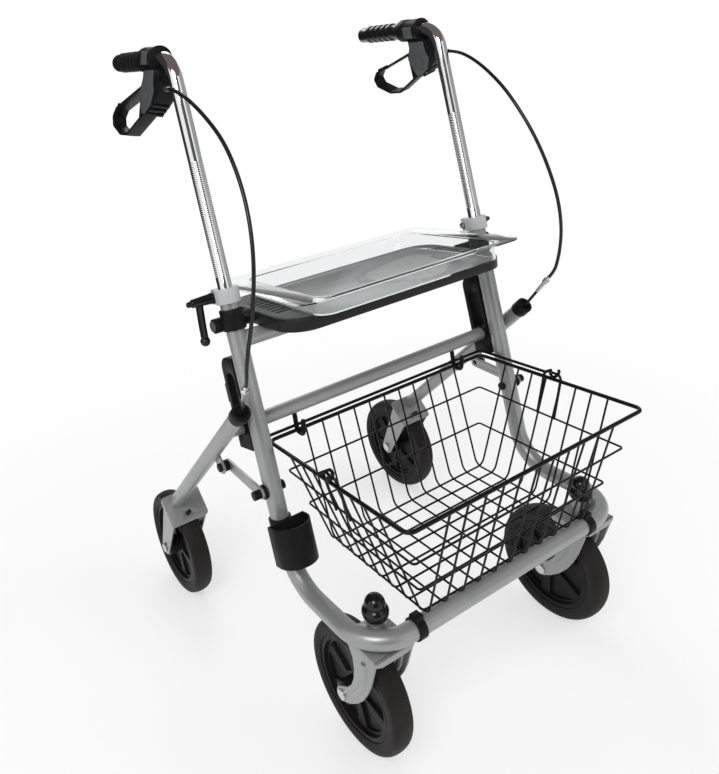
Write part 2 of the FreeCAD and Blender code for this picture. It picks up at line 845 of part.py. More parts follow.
def clamp_lever():
    centre = clamp_centre()
    start = V(lever_hub_place(), centre.y, centre.z)
    cone = Part.makeCone(hub_cone_base_r, hub_cone_tip_r, hub_cone, start, across)
    middle = start + across * (clamp_arm_share * hub_cone)
    half = 0.5 * clamp_arm_width
    deep = 0.5 * clamp_arm_thickness
    arm = box(middle - V(half, deep, clamp_arm), middle + V(half, deep, 0))
    ball = Part.makeSphere(clamp_ball_r, middle - upward * clamp_arm)
    hole = disc_x(start.x, start.x + hub_bolt_share * hub_cone + running_gap, centre,
                  0.5 * clamp_bolt_d + pin_fit)
    return cone.fuse(arm).fuse(ball).cut(hole)


def handle_bush_sleeve():
    low = on_upright(upright_top - handle_bush, 0)
    high = on_upright(upright_top, 0)
    return tube(low, high, frame_r - frame_wall, handle_r + pin_fit)


def handle_path():
    return bent_line([on_upright(handle_bottom, 0), on_upright(bend_s, 0),
                      V(upright_x, grip_end - grip_end_wall, grip_z)], [handle_bend_r])


def handle_tube():
    path = handle_path()
    return bar_along(path, handle_r).cut(bar_along(path, handle_r - handle_wall))


def grip():
    start = V(upright_x, grip_start, grip_z)
    end = V(upright_x, grip_end, grip_z)
    solid = rod(start, end, grip_r)
    solid = solid.fuse(rod(start, start + rearward * grip_collar, grip_collar_r))
    first = 0.5 * (grip_start + grip_end - (grip_ribs - 1) * grip_rib_pitch - grip_rib_width)
    for count in range(grip_ribs):
        foot = V(upright_x, first + count * grip_rib_pitch, grip_z)
        solid = solid.fuse(rod(foot, foot + rearward * grip_rib_width, grip_r + grip_rib))
    edges = [e for e in solid.Edges if abs(e.CenterOfMass.y - grip_end) < pin_fit]
    solid = solid.makeFillet(grip_end_wall, edges)
    return solid.cut(rod(start, end - rearward * grip_end_wall, handle_r))


def tilted(shape):
    """The brake unit leans outwards round the grip."""
    shape.rotate(V(upright_x, 0, grip_z), rearward, -unit_tilt)
    return shape


def lever_pivot():
    return V(upright_x, unit_front + lever_pivot_back, grip_z - lever_pivot_drop)


def brake_housing():
    x_low = upright_x - unit_half_width
    reach = across * (2 * unit_half_width)
    outline = [V(x_low, unit_front + back_share * unit_length, grip_z - drop_share * unit_drop)
               for back_share, drop_share in unit_outline_shares]
    ring_start = V(upright_x, unit_front, grip_z)
    ring_end = V(upright_x, unit_back, grip_z)
    housing = slab(outline, reach).fuse(rod(ring_start, ring_end, unit_ring_r))
    housing = housing.cut(rod(ring_start, ring_end, handle_r))
    pivot = lever_pivot()
    slot_half = lever_half_width + running_gap
    slot = box(V(upright_x - slot_half, pivot.y - lever_slot_ahead, pivot.z - unit_drop),
               V(upright_x + slot_half, pivot.y + unit_length, grip_z - lever_slot_top))
    housing = housing.cut(slot)
    pin = disc_x(x_low, x_low + 2 * unit_half_width, pivot, lever_pin_r)
    rising_tube = rod(on_upright(collar_top, 0), on_upright(bend_s, 0), handle_r + running_gap)
    return tilted(housing.fuse(pin)).cut(rising_tube)


def brake_lever():
    x_low = upright_x - lever_half_width
    reach = across * (2 * lever_half_width)
    pivot = lever_pivot()
    outline = [V(x_low, pivot.y + back_share * lever_length, pivot.z - drop_share * lever_drop)
               for back_share, drop_share in lever_outline_shares]
    loop = slab(outline, reach)
    edges = [e for e in loop.Edges
             if abs(e.tangentAt(e.FirstParameter).x) > 0.9
             and e.CenterOfMass.y > pivot.y + lever_root_share * lever_length]
    loop = loop.makeFillet(lever_corner_r, edges)
    side = [f for f in loop.Faces if abs(f.CenterOfMass.x - x_low) < pin_fit][0]
    opening = side.makeOffset2D(-lever_strap).extrude(reach)
    root = V(x_low, pivot.y + lever_root_share * lever_length, pivot.z - lever_length)
    opening = opening.common(box(root, root + V(reach.x, 2 * lever_length, 2 * lever_length)))
    lever = loop.cut(opening).fuse(disc_x(x_low, x_low + reach.x, pivot, lever_hub_r))
    return tilted(lever.cut(disc_x(x_low, x_low + reach.x, pivot, lever_pin_r + pin_fit)))


def cable_radii():
    """Each bend is as large as its two runs allow."""
    radii = []
    for before, corner, after in zip(cable_route, cable_route[1:], cable_route[2:]):
        into = corner - before
        out = after - corner
        turn = into.getAngle(out)
        shorter = min(into.Length, out.Length)
        radii.append(cable_bend_share * shorter / math.tan(0.5 * turn))
    return radii


def brake_cable():
    radii = cable_radii()
    path = bent_line(cable_route, radii)
    cable = bar_along(path, 0.5 * cable_d)
    section = math.pi * (0.5 * cable_d) ** 2
    print("cable length", round(path.Length, 1), "volume over section and length",
          round(cable.Volume / (section * path.Length), 5))
    print("cable radii", [round(radius) for radius in radii])
    return cable


def cable_heading():
    return (cable_route[-1] - cable_route[-2]).normalize()


def cable_adjuster():
    start = cable_route[-1]
    heading = cable_heading()
    body = rod(start, start + heading * adjuster, adjuster_r)
    nut_start = start + heading * (adjuster_nut_share * adjuster)
    nut = rod(nut_start, nut_start + heading * adjuster_nut, adjuster_nut_r)
    return body.fuse(nut)


def cable_boot():
    start = cable_route[-1] + cable_heading() * adjuster
    reach = (on_leg(-leg_top, 0) - start).Length + boot_entry
    return rod(start, start + cable_heading() * reach, boot_r)


def seat_lift():
    """Height of the sloping underside over the seat tube's middle."""
    return seat_tube_z + (0.5 * seat_tube_od + running_gap) / math.cos(math.radians(seat_slope))


def sloped(shape):
    shape.rotate(V(0, 0, 0), across, -seat_slope)
    shape.translate(V(0, seat_tube_y, seat_lift()))
    return shape


def seat_pivot(x):
    return V(x, seat_tube_y + seat_pivot_back, seat_tube_z + seat_pivot_rise)


def seat_board():
    board = rounded_block(V(-seat_half, seat_front, 0), V(seat_half, seat_back, seat_thickness),
                          seat_corner_r)
    edges = [e for e in board.Edges if abs(e.CenterOfMass.z - seat_thickness) < pin_fit]
    board = board.makeFillet(seat_edge_r, edges)
    first = 0.5 * (seat_front + seat_back - (seat_slots - 1) * seat_slot_pitch - seat_slot_width)
    grooves = []
    for count in range(seat_slots):
        y = first + count * seat_slot_pitch
        low = V(seat_half - seat_slot_inset - seat_slot, y, seat_thickness - seat_slot_depth)
        high = V(seat_half - seat_slot_inset, y + seat_slot_width, seat_thickness + overrun)
        grooves.append(box(low, high))
        grooves.append(mirrored(box(low, high)))
    board = sloped(board.cut(Part.makeCompound(grooves)))
    hole = disc_x(seat_half - seat_pin_depth - running_gap, seat_half, seat_pivot(0),
                  seat_pin_r + pin_fit)
    return board.cut(hole).cut(mirrored(hole))


def seat_bracket():
    """A band round the upright with a boss across its back for the seat's pin."""
    band = rod(on_upright(bracket_bottom, 0), on_upright(bracket_top, 0), frame_r + bracket_wall)
    start = seat_half + running_gap
    end = upright_x + frame_r + bracket_boss
    boss = disc_x(start, end, seat_pivot(0), bracket_boss_r)
    upright = rod(on_upright(bracket_bottom - frame_od, 0), on_upright(bracket_top + frame_od, 0),
                  frame_r)
    hole = disc_x(start, end, seat_pivot(0), seat_pin_r)
    return band.fuse(boss).cut(upright).cut(hole)


def seat_pin():
    end = upright_x + frame_r + bracket_boss
    pin = disc_x(seat_half - seat_pin_depth, end, seat_pivot(0), seat_pin_r)
    return pin.fuse(disc_x(end, end + seat_pin_head, seat_pivot(0), seat_pin_head_r))


def tray():
    base = seat_thickness + running_gap
    top = base + tray_depth
    rim = rounded_block(V(-tray_rim_half, tray_rim_front, top - tray_wall),
                        V(tray_rim_half, tray_rim_back, top), tray_rim_corner_r)
    half = tray_rim_half - tray_ledge_side
    front = tray_rim_front + tray_ledge_front
    rear = tray_rim_back - tray_ledge_back
    body = rounded_block(V(-half, front, base), V(half, rear, top), tray_corner_r)
    inset = V(tray_wall, tray_wall, 0)
    hollow = rounded_block(V(-half, front, base + tray_wall) + inset,
                           V(half, rear, top + overrun) - inset, tray_corner_r - tray_wall)
    return sloped(rim.fuse(body).cut(hollow))


def rounded_loop(half, front, rear, z, radius):
    """A rounded rectangle, lying flat, as a closed wire."""
    block = rounded_block(V(-half, front, z), V(half, rear, z + radius), radius)
    floor = [f for f in block.Faces if abs(f.CenterOfMass.z - z) < pin_fit
             and abs(f.normalAt(0, 0).z) > 0.9][0]
    return floor.OuterWire


def basket_rim_centre():
    """Middle of the rim; the rim slopes up towards the front."""
    y = 0.5 * (basket_rim_front + basket_rim_back)
    rise = (basket_rim_back - y) * math.tan(math.radians(basket_tilt))
    return V(0, y, basket_rim_back_z + rise)


def basket_sloped(shape):
    shape.rotate(basket_rim_centre(), across, -basket_tilt)
    return shape


def basket_base_z():
    return bottom_rail_z + frame_r + basket_lift


def basket_shell(inset):
    low = rounded_loop(basket_base_half - inset, basket_base_front + inset,
                       basket_base_back - inset, basket_base_z() + inset, basket_base_r)
    high = rounded_loop(basket_rim_half - inset, basket_rim_front + inset,
                        basket_rim_back - inset, basket_rim_centre().z, basket_rim_r)
    return Part.makeLoft([low, basket_sloped(high)], True, True)


def wire_gaps(count, pitch, centre):
    """Spans between evenly spaced wires."""
    first = centre - 0.5 * (count - 1) * pitch
    half = 0.5 * basket_wire
    return [(first + n * pitch + half, first + (n + 1) * pitch - half) for n in range(count - 1)]


def basket_rim_z(y):
    """Height of the rim wire's middle at a place between the back and the front."""
    return basket_rim_back_z + (basket_rim_back - y) * math.tan(math.radians(basket_tilt))


def basket_windows():
    """The gaps between the wires; at the corners only the level rings pass."""
    base = basket_base_z()
    height = basket_rim_back_z - base
    levels = [base + basket_wire]
    for share in basket_ring_shares:
        levels += [base + share * height - basket_wire, base + share * height]
    rows = list(zip(levels[0::2], levels[1::2] + [None]))
    middle_y = 0.5 * (basket_base_front + basket_base_back)
    long_gaps = wire_gaps(basket_long_wire_count, basket_long_pitch, 0)
    cross_gaps = wire_gaps(basket_cross_wire_count, basket_cross_pitch, middle_y)
    front = basket_rim_front - overrun
    rear = basket_rim_back + overrun
    side = basket_rim_half + overrun
    last_x = long_gaps[-1][1] + basket_wire
    first_y = cross_gaps[0][0] - basket_wire
    last_y = cross_gaps[-1][1] + basket_wire
    hidden = 0.5 * basket_rim_wire - running_gap
    windows = []
    for z_low, z_high in rows:
        for y_low, y_high, y_edge in ((front, middle_y, basket_rim_front),
                                      (middle_y, rear, basket_rim_back)):
            top = z_high or basket_rim_z(y_edge) - hidden
            for x_low, x_high in long_gaps:
                windows.append(box(V(x_low, y_low, z_low), V(x_high, y_high, top)))
        for y_low, y_high in cross_gaps:
            top = z_high or basket_rim_z(y_high) - hidden
            windows.append(box(V(-side, y_low, z_low), V(-last_x, y_high, top)))
            windows.append(box(V(last_x, y_low, z_low), V(side, y_high, top)))
        for x_low, x_high in ((-side, -last_x), (last_x, side)):
            top = z_high or basket_rim_z(front) + overrun
            windows.append(box(V(x_low, front, z_low), V(x_high, first_y, top)))
            windows.append(box(V(x_low, last_y, z_low), V(x_high, rear, top)))
    for x_low, x_high in long_gaps:
        for y_low, y_high in cross_gaps:
            windows.append(box(V(x_low, y_low, base - overrun),
                               V(x_high, y_high, base + basket_wire + running_gap)))
    return windows


def bail_height():
    """The bail lies just over the rim wire."""
    return 0.5 * basket_rim_wire + 0.5 * bail_wire + running_gap


def basket_wires():
    shell = basket_shell(0).cut(basket_shell(basket_wire))
    top = rounded_loop(basket_rim_half - basket_wire, basket_rim_front + basket_wire,
                       basket_rim_back - basket_wire, basket_rim_centre().z - basket_wire,
                       basket_rim_r)
    lid = Part.Face(top).extrude(upward * (2 * basket_rim_wire))
    basket = shell.cut(basket_sloped(lid)).cut(Part.makeCompound(basket_windows()))
    rim = bar_along(rounded_loop(basket_rim_half, basket_rim_front, basket_rim_back,
                                 basket_rim_centre().z, basket_rim_r), 0.5 * basket_rim_wire)
    centre = basket_rim_centre()
    eye = centre + V(0, 0, bail_height())
    x_low = basket_rim_half - bail_inset + 0.5 * bail_wire + running_gap
    plate = box(V(x_low, centre.y - eyelet_r, centre.z - eyelet_r),
                V(x_low + eyelet, centre.y + eyelet_r, eye.z))
    plate = plate.fuse(disc_x(x_low, x_low + eyelet, eye, eyelet_r))
    hole = disc_x(-x_low - eyelet, x_low + eyelet, eye, 0.5 * bail_wire + pin_fit)
    basket = basket.fuse([basket_sloped(rim), basket_sloped(plate), basket_sloped(mirrored(plate))])
    return basket.cut(basket_sloped(hole))


def basket_bail():
    centre = basket_rim_centre()
    half = basket_rim_half - bail_inset
    z = centre.z + bail_height()
    y_back = basket_rim_back - bail_back_inset
    tip = half + 0.5 * bail_wire + running_gap + eyelet + running_gap
    path = bent_line([V(-half, centre.y, z), V(-half, y_back, z), V(half, y_back, z),
                      V(half, centre.y, z)], [bail_corner_r, bail_corner_r])
    bail = bar_along(path, 0.5 * bail_wire)
    stub = rod(V(half, centre.y, z), V(tip, centre.y, z), 0.5 * bail_wire)
    ball = Part.makeSphere(0.5 * bail_wire, V(half, centre.y, z))
    bail = bail.fuse([stub, mirrored(stub), ball, mirrored(ball)])
    return basket_sloped(bail)


def basket_hanger():
    """A hook round the crossbar that carries the basket's rear rim."""
    x_low = hanger_x - 0.5 * hanger_width
    reach = across * hanger_width
    wire_r = 0.5 * basket_rim_wire + running_gap
    bed = V(x_low, basket_rim_back, basket_rim_back_z - wire_r)
    spine = V(x_low, basket_rim_back + wire_r, bed.z)
    lean = math.radians(hanger_lean)
    slope = V(0, -math.sin(lean), math.cos(lean))
    out = V(0, -math.cos(lean), -math.sin(lean))
    lip = bed - V(0, wire_r, 0)
    ring_r = crossbar_r + pin_fit + hanger_wall
    outline = [V(x_low, spine.y, crossbar.z), spine, lip, lip + slope * hanger_lip,
               lip + slope * hanger_lip + out * hanger_wall,
               lip + out * hanger_wall - V(0, 0, 0.5 * hanger_wall),
               V(x_low, spine.y + hanger_wall, bed.z - hanger_wall),
               V(x_low, spine.y + hanger_wall, crossbar.z)]
    hook = slab(outline, reach)
    hook = hook.fuse(disc_x(x_low, x_low + hanger_width, crossbar, ring_r))
    return hook.cut(disc_x(x_low, x_low + hanger_width, crossbar, crossbar_r + pin_fit))


def basket_clip(body):
    """A snap clip round the front tube beside the basket's corner."""
    x_low = basket_base_half + clip_gap
    x_high = x_low + clip_width
    centre = V(0, front_bar_y, bottom_rail_z)
    clip = disc_x(x_low, x_high, centre, frame_r + clip_wall)
    half = 0.5 * clip_width
    crest = box(V(x_low, front_bar_y - half, bottom_rail_z),
                V(x_high, front_bar_y + half, bottom_rail_z + frame_r + clip_wall + clip_crest))
    return clip.fuse(crest).cut(body)


def cup_section(inset, along):
    """The cup's D shape: flat towards the upright, round at the front."""
    half = cup_half - inset
    flat = -cup_flat - inset
    side = -cup_flat - cup_side_share * cup_depth
    nose = -cup_flat - cup_depth + inset
    x = -upright_x
    corner = [on_upright(along, flat, x - half), on_upright(along, side, x - half),
              on_upright(along, nose, x), on_upright(along, side, x + half),
              on_upright(along, flat, x + half)]
    edges = [Part.LineSegment(corner[0], corner[1]).toShape(),
             Part.Arc(corner[1], corner[2], corner[3]).toShape(),
             Part.LineSegment(corner[3], corner[4]).toShape(),
             Part.LineSegment(corner[4], corner[0]).toShape()]
    return Part.Face(Part.Wire(edges))


def cup_holder(body):
    height = cup_top - cup_bottom
    cup = cup_section(0, cup_bottom).extrude(up * height)
    clip = rod(on_upright(cup_top - cup_clip, 0, -upright_x), on_upright(cup_top, 0, -upright_x),
               frame_r + cup_clip_wall)
    hollow = cup_section(cup_wall, cup_bottom + cup_wall).extrude(up * height)
    return cup.fuse(clip).cut(body).cut(hollow)


os.makedirs("parts", exist_ok=True)

body = frame_body()
boot = cable_boot()

save("front_tube", front_tube(body))
save("seat_tube", seat_tube())
save_pair("caster_sleeves", caster_sleeve(body))
save_pair("ball_caps", ball_cap())
save("guide_rail_left", guide_rail())
save("guide_rail_right", latched_rail())
save("fold_latch_knob", fold_latch_knob())
save_pair("link_pivot_bolts", link_bolt())
save_pair("height_collars", height_collar())
save_pair("collar_bolts", collar_bolt())
save_pair("handle_bushes", handle_bush_sleeve())
save_pair("seat_brackets", seat_bracket())
save_pair("seat_pivot_pins", seat_pin())
save("cup_holder", cup_holder(body))
save_pair("basket_clips", basket_clip(body))
save_sides("brake_cable", brake_cable())
save_pair("slider_bushes", slider_bush())
save_pair("basket_hangers", basket_hanger())
save_sides("leg_tube", leg_tube())
save("lower_crossbar", lower_crossbar())
save_pair("leg_end_caps", leg_end_cap(boot))
save_sides("rear_fork", rear_fork())
save_pair("lug_bolts", lug_bolt())
save_pair("rear_axles", axle_with_nuts(rear_wheel_x, rear_wheel_y, rear_arm_inner))
save_pair("cable_adjusters", cable_adjuster())
save_pair("cable_boots", boot)
save_sides("fold_link", fold_link())
save_sides("rear_tyre", tyre(rear_wheel_x, rear_wheel_y))
save_sides("rear_hub", hub(rear_wheel_x, rear_wheel_y, rear_arm_inner))
save_sides("front_tyre", tyre(sleeve_x, front_wheel_y))
save_sides("front_hub", hub(sleeve_x, front_wheel_y, arm_inner))
save_sides("caster_fork", caster_fork())
save_sides("front_axle", axle_with_nuts(sleeve_x, front_wheel_y, arm_inner))
save_sides("handle_tube", handle_tube())
save_sides("grip", grip())
save_sides("brake_housing", brake_housing())
save_sides("clamp_lever", clamp_lever())
save_sides("brake_lever", brake_lever())
save_sides("brake_shoe", brake_shoe())
save("seat_board", seat_board())
save("tray", tray())
save("basket_wires", basket_wires())
save("basket_bail", basket_bail())
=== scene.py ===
import math

import bpy
from mathutils import Matrix, Vector
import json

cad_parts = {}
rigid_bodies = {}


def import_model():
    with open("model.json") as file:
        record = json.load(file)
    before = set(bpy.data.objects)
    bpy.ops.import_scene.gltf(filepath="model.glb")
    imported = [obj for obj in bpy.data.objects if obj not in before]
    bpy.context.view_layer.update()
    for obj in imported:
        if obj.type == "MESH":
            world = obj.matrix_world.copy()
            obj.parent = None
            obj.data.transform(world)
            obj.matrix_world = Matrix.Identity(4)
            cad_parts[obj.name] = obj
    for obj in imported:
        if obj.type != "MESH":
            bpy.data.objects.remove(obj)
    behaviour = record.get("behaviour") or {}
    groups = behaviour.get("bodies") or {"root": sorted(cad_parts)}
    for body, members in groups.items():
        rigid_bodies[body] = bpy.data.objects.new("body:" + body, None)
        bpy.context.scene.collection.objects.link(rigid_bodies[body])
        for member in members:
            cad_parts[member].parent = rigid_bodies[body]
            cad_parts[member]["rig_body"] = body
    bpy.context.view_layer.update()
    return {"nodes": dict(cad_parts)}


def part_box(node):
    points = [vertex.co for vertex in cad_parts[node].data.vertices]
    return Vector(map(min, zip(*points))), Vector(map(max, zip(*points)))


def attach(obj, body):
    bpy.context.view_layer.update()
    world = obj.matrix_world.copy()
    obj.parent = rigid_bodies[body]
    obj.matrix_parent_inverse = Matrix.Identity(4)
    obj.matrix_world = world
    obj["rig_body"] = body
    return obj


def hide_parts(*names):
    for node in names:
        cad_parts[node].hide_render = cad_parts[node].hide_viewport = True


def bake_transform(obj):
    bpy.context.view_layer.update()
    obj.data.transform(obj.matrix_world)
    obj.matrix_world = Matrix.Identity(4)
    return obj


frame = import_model()
nodes = frame["nodes"]
both_sides = (("left", 1), ("right", -1))
bpy.ops.object.select_all(action="DESELECT")

# The studio: a pale floor that fades into a white background, and three large soft lamps.
# The camera stands at handle height, ahead of the rollator and on its right-hand side.
camera_place = Vector((-0.7048, -0.9292, 1.002))
sight_right = Vector((0.84895, -0.51751, -0.10709))
sight_up = Vector((0.24320, 0.20268, 0.94856))
camera_lens = 34.66
camera_shift = (0.1267, -0.1398)
floor_size, floor_drop = 14, 0.0005
floor_colour, floor_roughness = (0.86, 0.86, 0.86, 1), 0.9
fade_start, fade_end, fade_least = 0.5, 1.6, 0.55
white = (1, 1, 1, 1)
room_light = 0.62
lamp_aim = Vector((0, 0, 0.5))

bpy.ops.object.camera_add(location=camera_place)
camera = bpy.context.object
turn = Matrix((sight_right, sight_up, sight_right.cross(sight_up))).transposed()
camera.rotation_euler = turn.to_euler()
camera.data.lens = camera_lens
camera.data.sensor_width = 36
camera.data.shift_x, camera.data.shift_y = camera_shift
camera.data.clip_start = 0.05
bpy.context.scene.camera = camera
bpy.context.scene.view_settings.view_transform = "Standard"


def white_when_seen(tree, lit, output):
    """Plain white for the camera, in gloss and through glass, and the lit shader for all other light."""
    path = tree.nodes.new("ShaderNodeLightPath")
    seen = path.outputs["Is Camera Ray"]
    for ray in ("Is Glossy Ray", "Is Transmission Ray"):
        both = tree.nodes.new("ShaderNodeMath")
        both.operation = "MAXIMUM"
        tree.links.new(seen, both.inputs[0])
        tree.links.new(path.outputs[ray], both.inputs[1])
        seen = both.outputs[0]
    kind = "ShaderNodeBackground" if output.type == "OUTPUT_WORLD" else "ShaderNodeEmission"
    shown = tree.nodes.new(kind)
    shown.inputs["Color"].default_value = white
    mix = tree.nodes.new("ShaderNodeMixShader")
    tree.links.new(seen, mix.inputs[0])
    tree.links.new(lit, mix.inputs[1])
    tree.links.new(shown.outputs[0], mix.inputs[2])
    tree.links.new(mix.outputs[0], output.inputs["Surface"])
    return mix


world = bpy.data.worlds.new("room")
world.use_nodes = True
bpy.context.scene.world = world
backdrop = world.node_tree.nodes["Background"]
backdrop.inputs["Color"].default_value = white
backdrop.inputs["Strength"].default_value = room_light
white_when_seen(world.node_tree, backdrop.outputs[0], world.node_tree.nodes["World Output"])

bpy.ops.mesh.primitive_circle_add(vertices=96, radius=floor_size / 2, fill_type="NGON",
                                  location=(0, 0, -floor_drop))
floor = bpy.context.object
floor.name = "floor"
bpy.ops.object.transform_apply(location=True)
floor_paint = bpy.data.materials.new("pale_floor")
floor_paint.use_nodes = True
tree = floor_paint.node_tree
tree.nodes["Principled BSDF"].inputs["Base Color"].default_value = floor_colour
tree.nodes["Principled BSDF"].inputs["Roughness"].default_value = floor_roughness
mix = white_when_seen(tree, tree.nodes["Principled BSDF"].outputs[0], tree.nodes["Material Output"])
distance = tree.nodes.new("ShaderNodeVectorMath")
distance.operation = "LENGTH"
tree.links.new(tree.nodes.new("ShaderNodeTexCoord").outputs["Object"], distance.inputs[0])
fade = tree.nodes.new("ShaderNodeMapRange")
fade.interpolation_type = "SMOOTHSTEP"
for socket, value in (("From Min", fade_start), ("From Max", fade_end),
                      ("To Min", fade_least), ("To Max", 1)):
    fade.inputs[socket].default_value = value
tree.links.new(distance.outputs["Value"], fade.inputs["Value"])
share = tree.nodes.new("ShaderNodeMath")
share.operation = "MULTIPLY"
tree.links.new(mix.inputs[0].links[0].from_socket, share.inputs[0])
tree.links.new(fade.outputs["Result"], share.inputs[1])
tree.links.new(share.outputs[0], mix.inputs[0])
floor.data.materials.append(floor_paint)

for name, place, size, power in (("key_lamp", (-1.6, -1.3, 2.3), 1.3, 34),
                                 ("fill_lamp", (1.9, -1.4, 1.5), 1.6, 16),
                                 ("back_lamp", (0.4, 2.0, 2.2), 1.6, 20)):
    bpy.ops.object.light_add(type="AREA", location=place)
    lamp = bpy.context.object
    lamp.name = name
    lamp.data.shape = "DISK"
    lamp.data.size = size
    lamp.data.energy = power
    lamp.visible_glossy = name != "fill_lamp"
    lamp.rotation_euler = (lamp_aim - Vector(place)).to_track_quat("-Z", "Y").to_euler()

# Dark boards stand round the rollator and over it. Only gloss mirrors them, as long streaks on its tubes.
board_height = 2.6
ceiling_place = (0, 0.5, 2.65)
boards = (("board_behind", 122, 1.5, 2.7, (0.04, 0.04, 0.045)),
          ("board_camera", 243, 2.4, 2.1, (0.11, 0.112, 0.116)),
          ("board_side", 338, 2.4, 4.9, (0.36, 0.37, 0.38)),
          ("board_above", None, 0, 6.0, (0.16, 0.13, 0.115)))
for name, bearing, distance, width, shade in boards:
    if bearing is None:
        bpy.ops.mesh.primitive_plane_add(size=width, location=ceiling_place)
    else:
        turn = math.radians(bearing)
        place = (distance * math.cos(turn), distance * math.sin(turn), board_height / 2)
        upright = (math.pi / 2, 0, turn + math.pi / 2)
        bpy.ops.mesh.primitive_plane_add(size=1, rotation=upright, location=place)
        bpy.context.object.scale = (width, board_height, 1)
    board = bpy.context.object
    board.name = name
    bpy.ops.object.transform_apply(location=True, rotation=True, scale=True)
    board.visible_camera = board.visible_diffuse = board.visible_shadow = board.visible_transmission = False
    dark = bpy.data.materials.new(name)
    dark.use_nodes = True
    dark.node_tree.nodes.remove(dark.node_tree.nodes["Principled BSDF"])
    glow = dark.node_tree.nodes.new("ShaderNodeEmission")
    glow.inputs["Color"].default_value = (*shade, 1)
    dark.node_tree.links.new(glow.outputs[0], dark.node_tree.nodes["Material Output"].inputs["Surface"])
    board.data.materials.append(dark)

# The front frame: one steel tube bent round the front, with the cross tube and the caster sleeves welded to
# it. It is sprayed in a silver-grey paint with fine metal flakes, smooth, with a satin shine.


class Field:
    """A number or a colour that varies over a surface: one socket among a finish's nodes."""

    def __init__(self, finish, socket):
        self.finish = finish
        self.socket = socket

    def __add__(self, other):
        return self.finish.node("ShaderNodeMath", {"operation": "ADD"}, {0: self, 1: other})

    def __mul__(self, other):
        return self.finish.node("ShaderNodeMath", {"operation": "MULTIPLY"}, {0: self, 1: other})


class Finish:
    """A material made of one Principled shader and what varies over its surface."""

    def __init__(self, name, colour, roughness, metallic=0.0, coat=0.0, gloss=0.5):
        self.material = bpy.data.materials.new(name)
        self.material.use_nodes = True
        self.material.diffuse_color = (*colour, 1)
        self.tree = self.material.node_tree
        self.shader = self.tree.nodes["Principled BSDF"]
        self.set("Base Color", (*colour, 1))
        self.set("Roughness", roughness)
        self.set("Metallic", metallic)
        self.set("Coat Weight", coat)
        self.set("Specular IOR Level", gloss)
        self.place = self.node("ShaderNodeTexCoord", output="Object")

    def node(self, kind, settings=None, sockets=None, output=0):
        made = self.tree.nodes.new(kind)
        for name, value in (settings or {}).items():
            if name == "stops":
                for stop, (position, shade) in zip(made.color_ramp.elements, value):
                    stop.position = position
                    stop.color = (shade, shade, shade, 1)
            else:
                setattr(made, name, value)
        for name, value in (sockets or {}).items():
            self.feed(made.inputs[name], value)
        return Field(self, made.outputs[output])

    def feed(self, socket, value):
        if isinstance(value, Field):
            self.tree.links.new(value.socket, socket)
        else:
            socket.default_value = value

    def set(self, name, value):
        self.feed(self.shader.inputs[name], value)

    def noise(self, scale, detail=2.0):
        """Cloudy noise around 0.5, with the given number of cells a metre."""
        return self.node("ShaderNodeTexNoise", {}, {"Vector": self.place, "Scale": scale, "Detail": detail})

    def ramp(self, value, low, high):
        """Goes from 0 at low to 1 at high."""
        return self.node("ShaderNodeValToRGB", {"stops": ((low, 0), (high, 1))}, {"Fac": value})

    def blend(self, factor, first, second):
        pair = {0: factor, 6: (*first, 1) if isinstance(first, tuple) else first,
                7: (*second, 1) if isinstance(second, tuple) else second}
        return self.node("ShaderNodeMix", {"data_type": "RGBA"}, pair, output=2)

    def bump(self, height, depth):
        """Raises the surface by up to a depth in metres where the height is 1."""
        normal = self.node("ShaderNodeBump", {}, {"Height": height, "Distance": depth})
        self.set("Normal", normal)


def wear(finish, *names):
    """Gives a finish to nodes of the frame."""
    for name in names:
        mesh = nodes[name].data
        mesh.materials.clear()
        mesh.materials.append(finish.material)


silver = (0.36, 0.362, 0.366)
silver_dark = (0.29, 0.292, 0.296)
silver_paint = Finish("silver_paint", silver, 0.36, metallic=0.5, coat=0.15, gloss=0.4)
flakes = silver_paint.noise(1600, 1)
drift = silver_paint.noise(9, 3)
shine = silver_paint.ramp(flakes * 0.5 + drift * 0.5, 0.35, 0.65)
silver_paint.set("Base Color", silver_paint.blend(shine, silver_dark, silver))
silver_paint.set("Roughness", drift * 0.1 + 0.31)
silver_paint.bump(silver_paint.noise(420, 2), 0.00006)
weld_distance = 0.000005
flat_angle = math.radians(1)


def select_only(piece):
    if bpy.context.object and bpy.context.object.mode == "EDIT":
        bpy.ops.object.mode_set(mode="OBJECT")
    bpy.ops.object.select_all(action="DESELECT")
    piece.select_set(True)
    bpy.context.view_layer.objects.active = piece


def stands_for(piece, finish, *names):
    """The piece is shown for parts of the frame, which are hidden: it moves as they do and wears the given
    finish.
    """
    piece.data.materials.clear()
    piece.data.materials.append(finish.material)
    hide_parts(*names)
    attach(piece, nodes[names[0]]["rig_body"])


def goes_with(piece, finish, name):
    """The piece is fixed to a part of the frame that stays in view."""
    piece.data.materials.clear()
    piece.data.materials.append(finish.material)
    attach(piece, nodes[name]["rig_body"])


def soften(piece, edge, corner=30, smooth=40):
    """Rounds the sharp edges of a piece and shades its curves smooth."""
    select_only(piece)
    bevel = piece.modifiers.new("edges", "BEVEL")
    bevel.width = edge
    bevel.segments = 2
    bevel.limit_method = "ANGLE"
    bevel.angle_limit = math.radians(corner)
    bpy.ops.object.modifier_apply(modifier=bevel.name)
    bpy.ops.object.shade_smooth_by_angle(angle=math.radians(smooth))


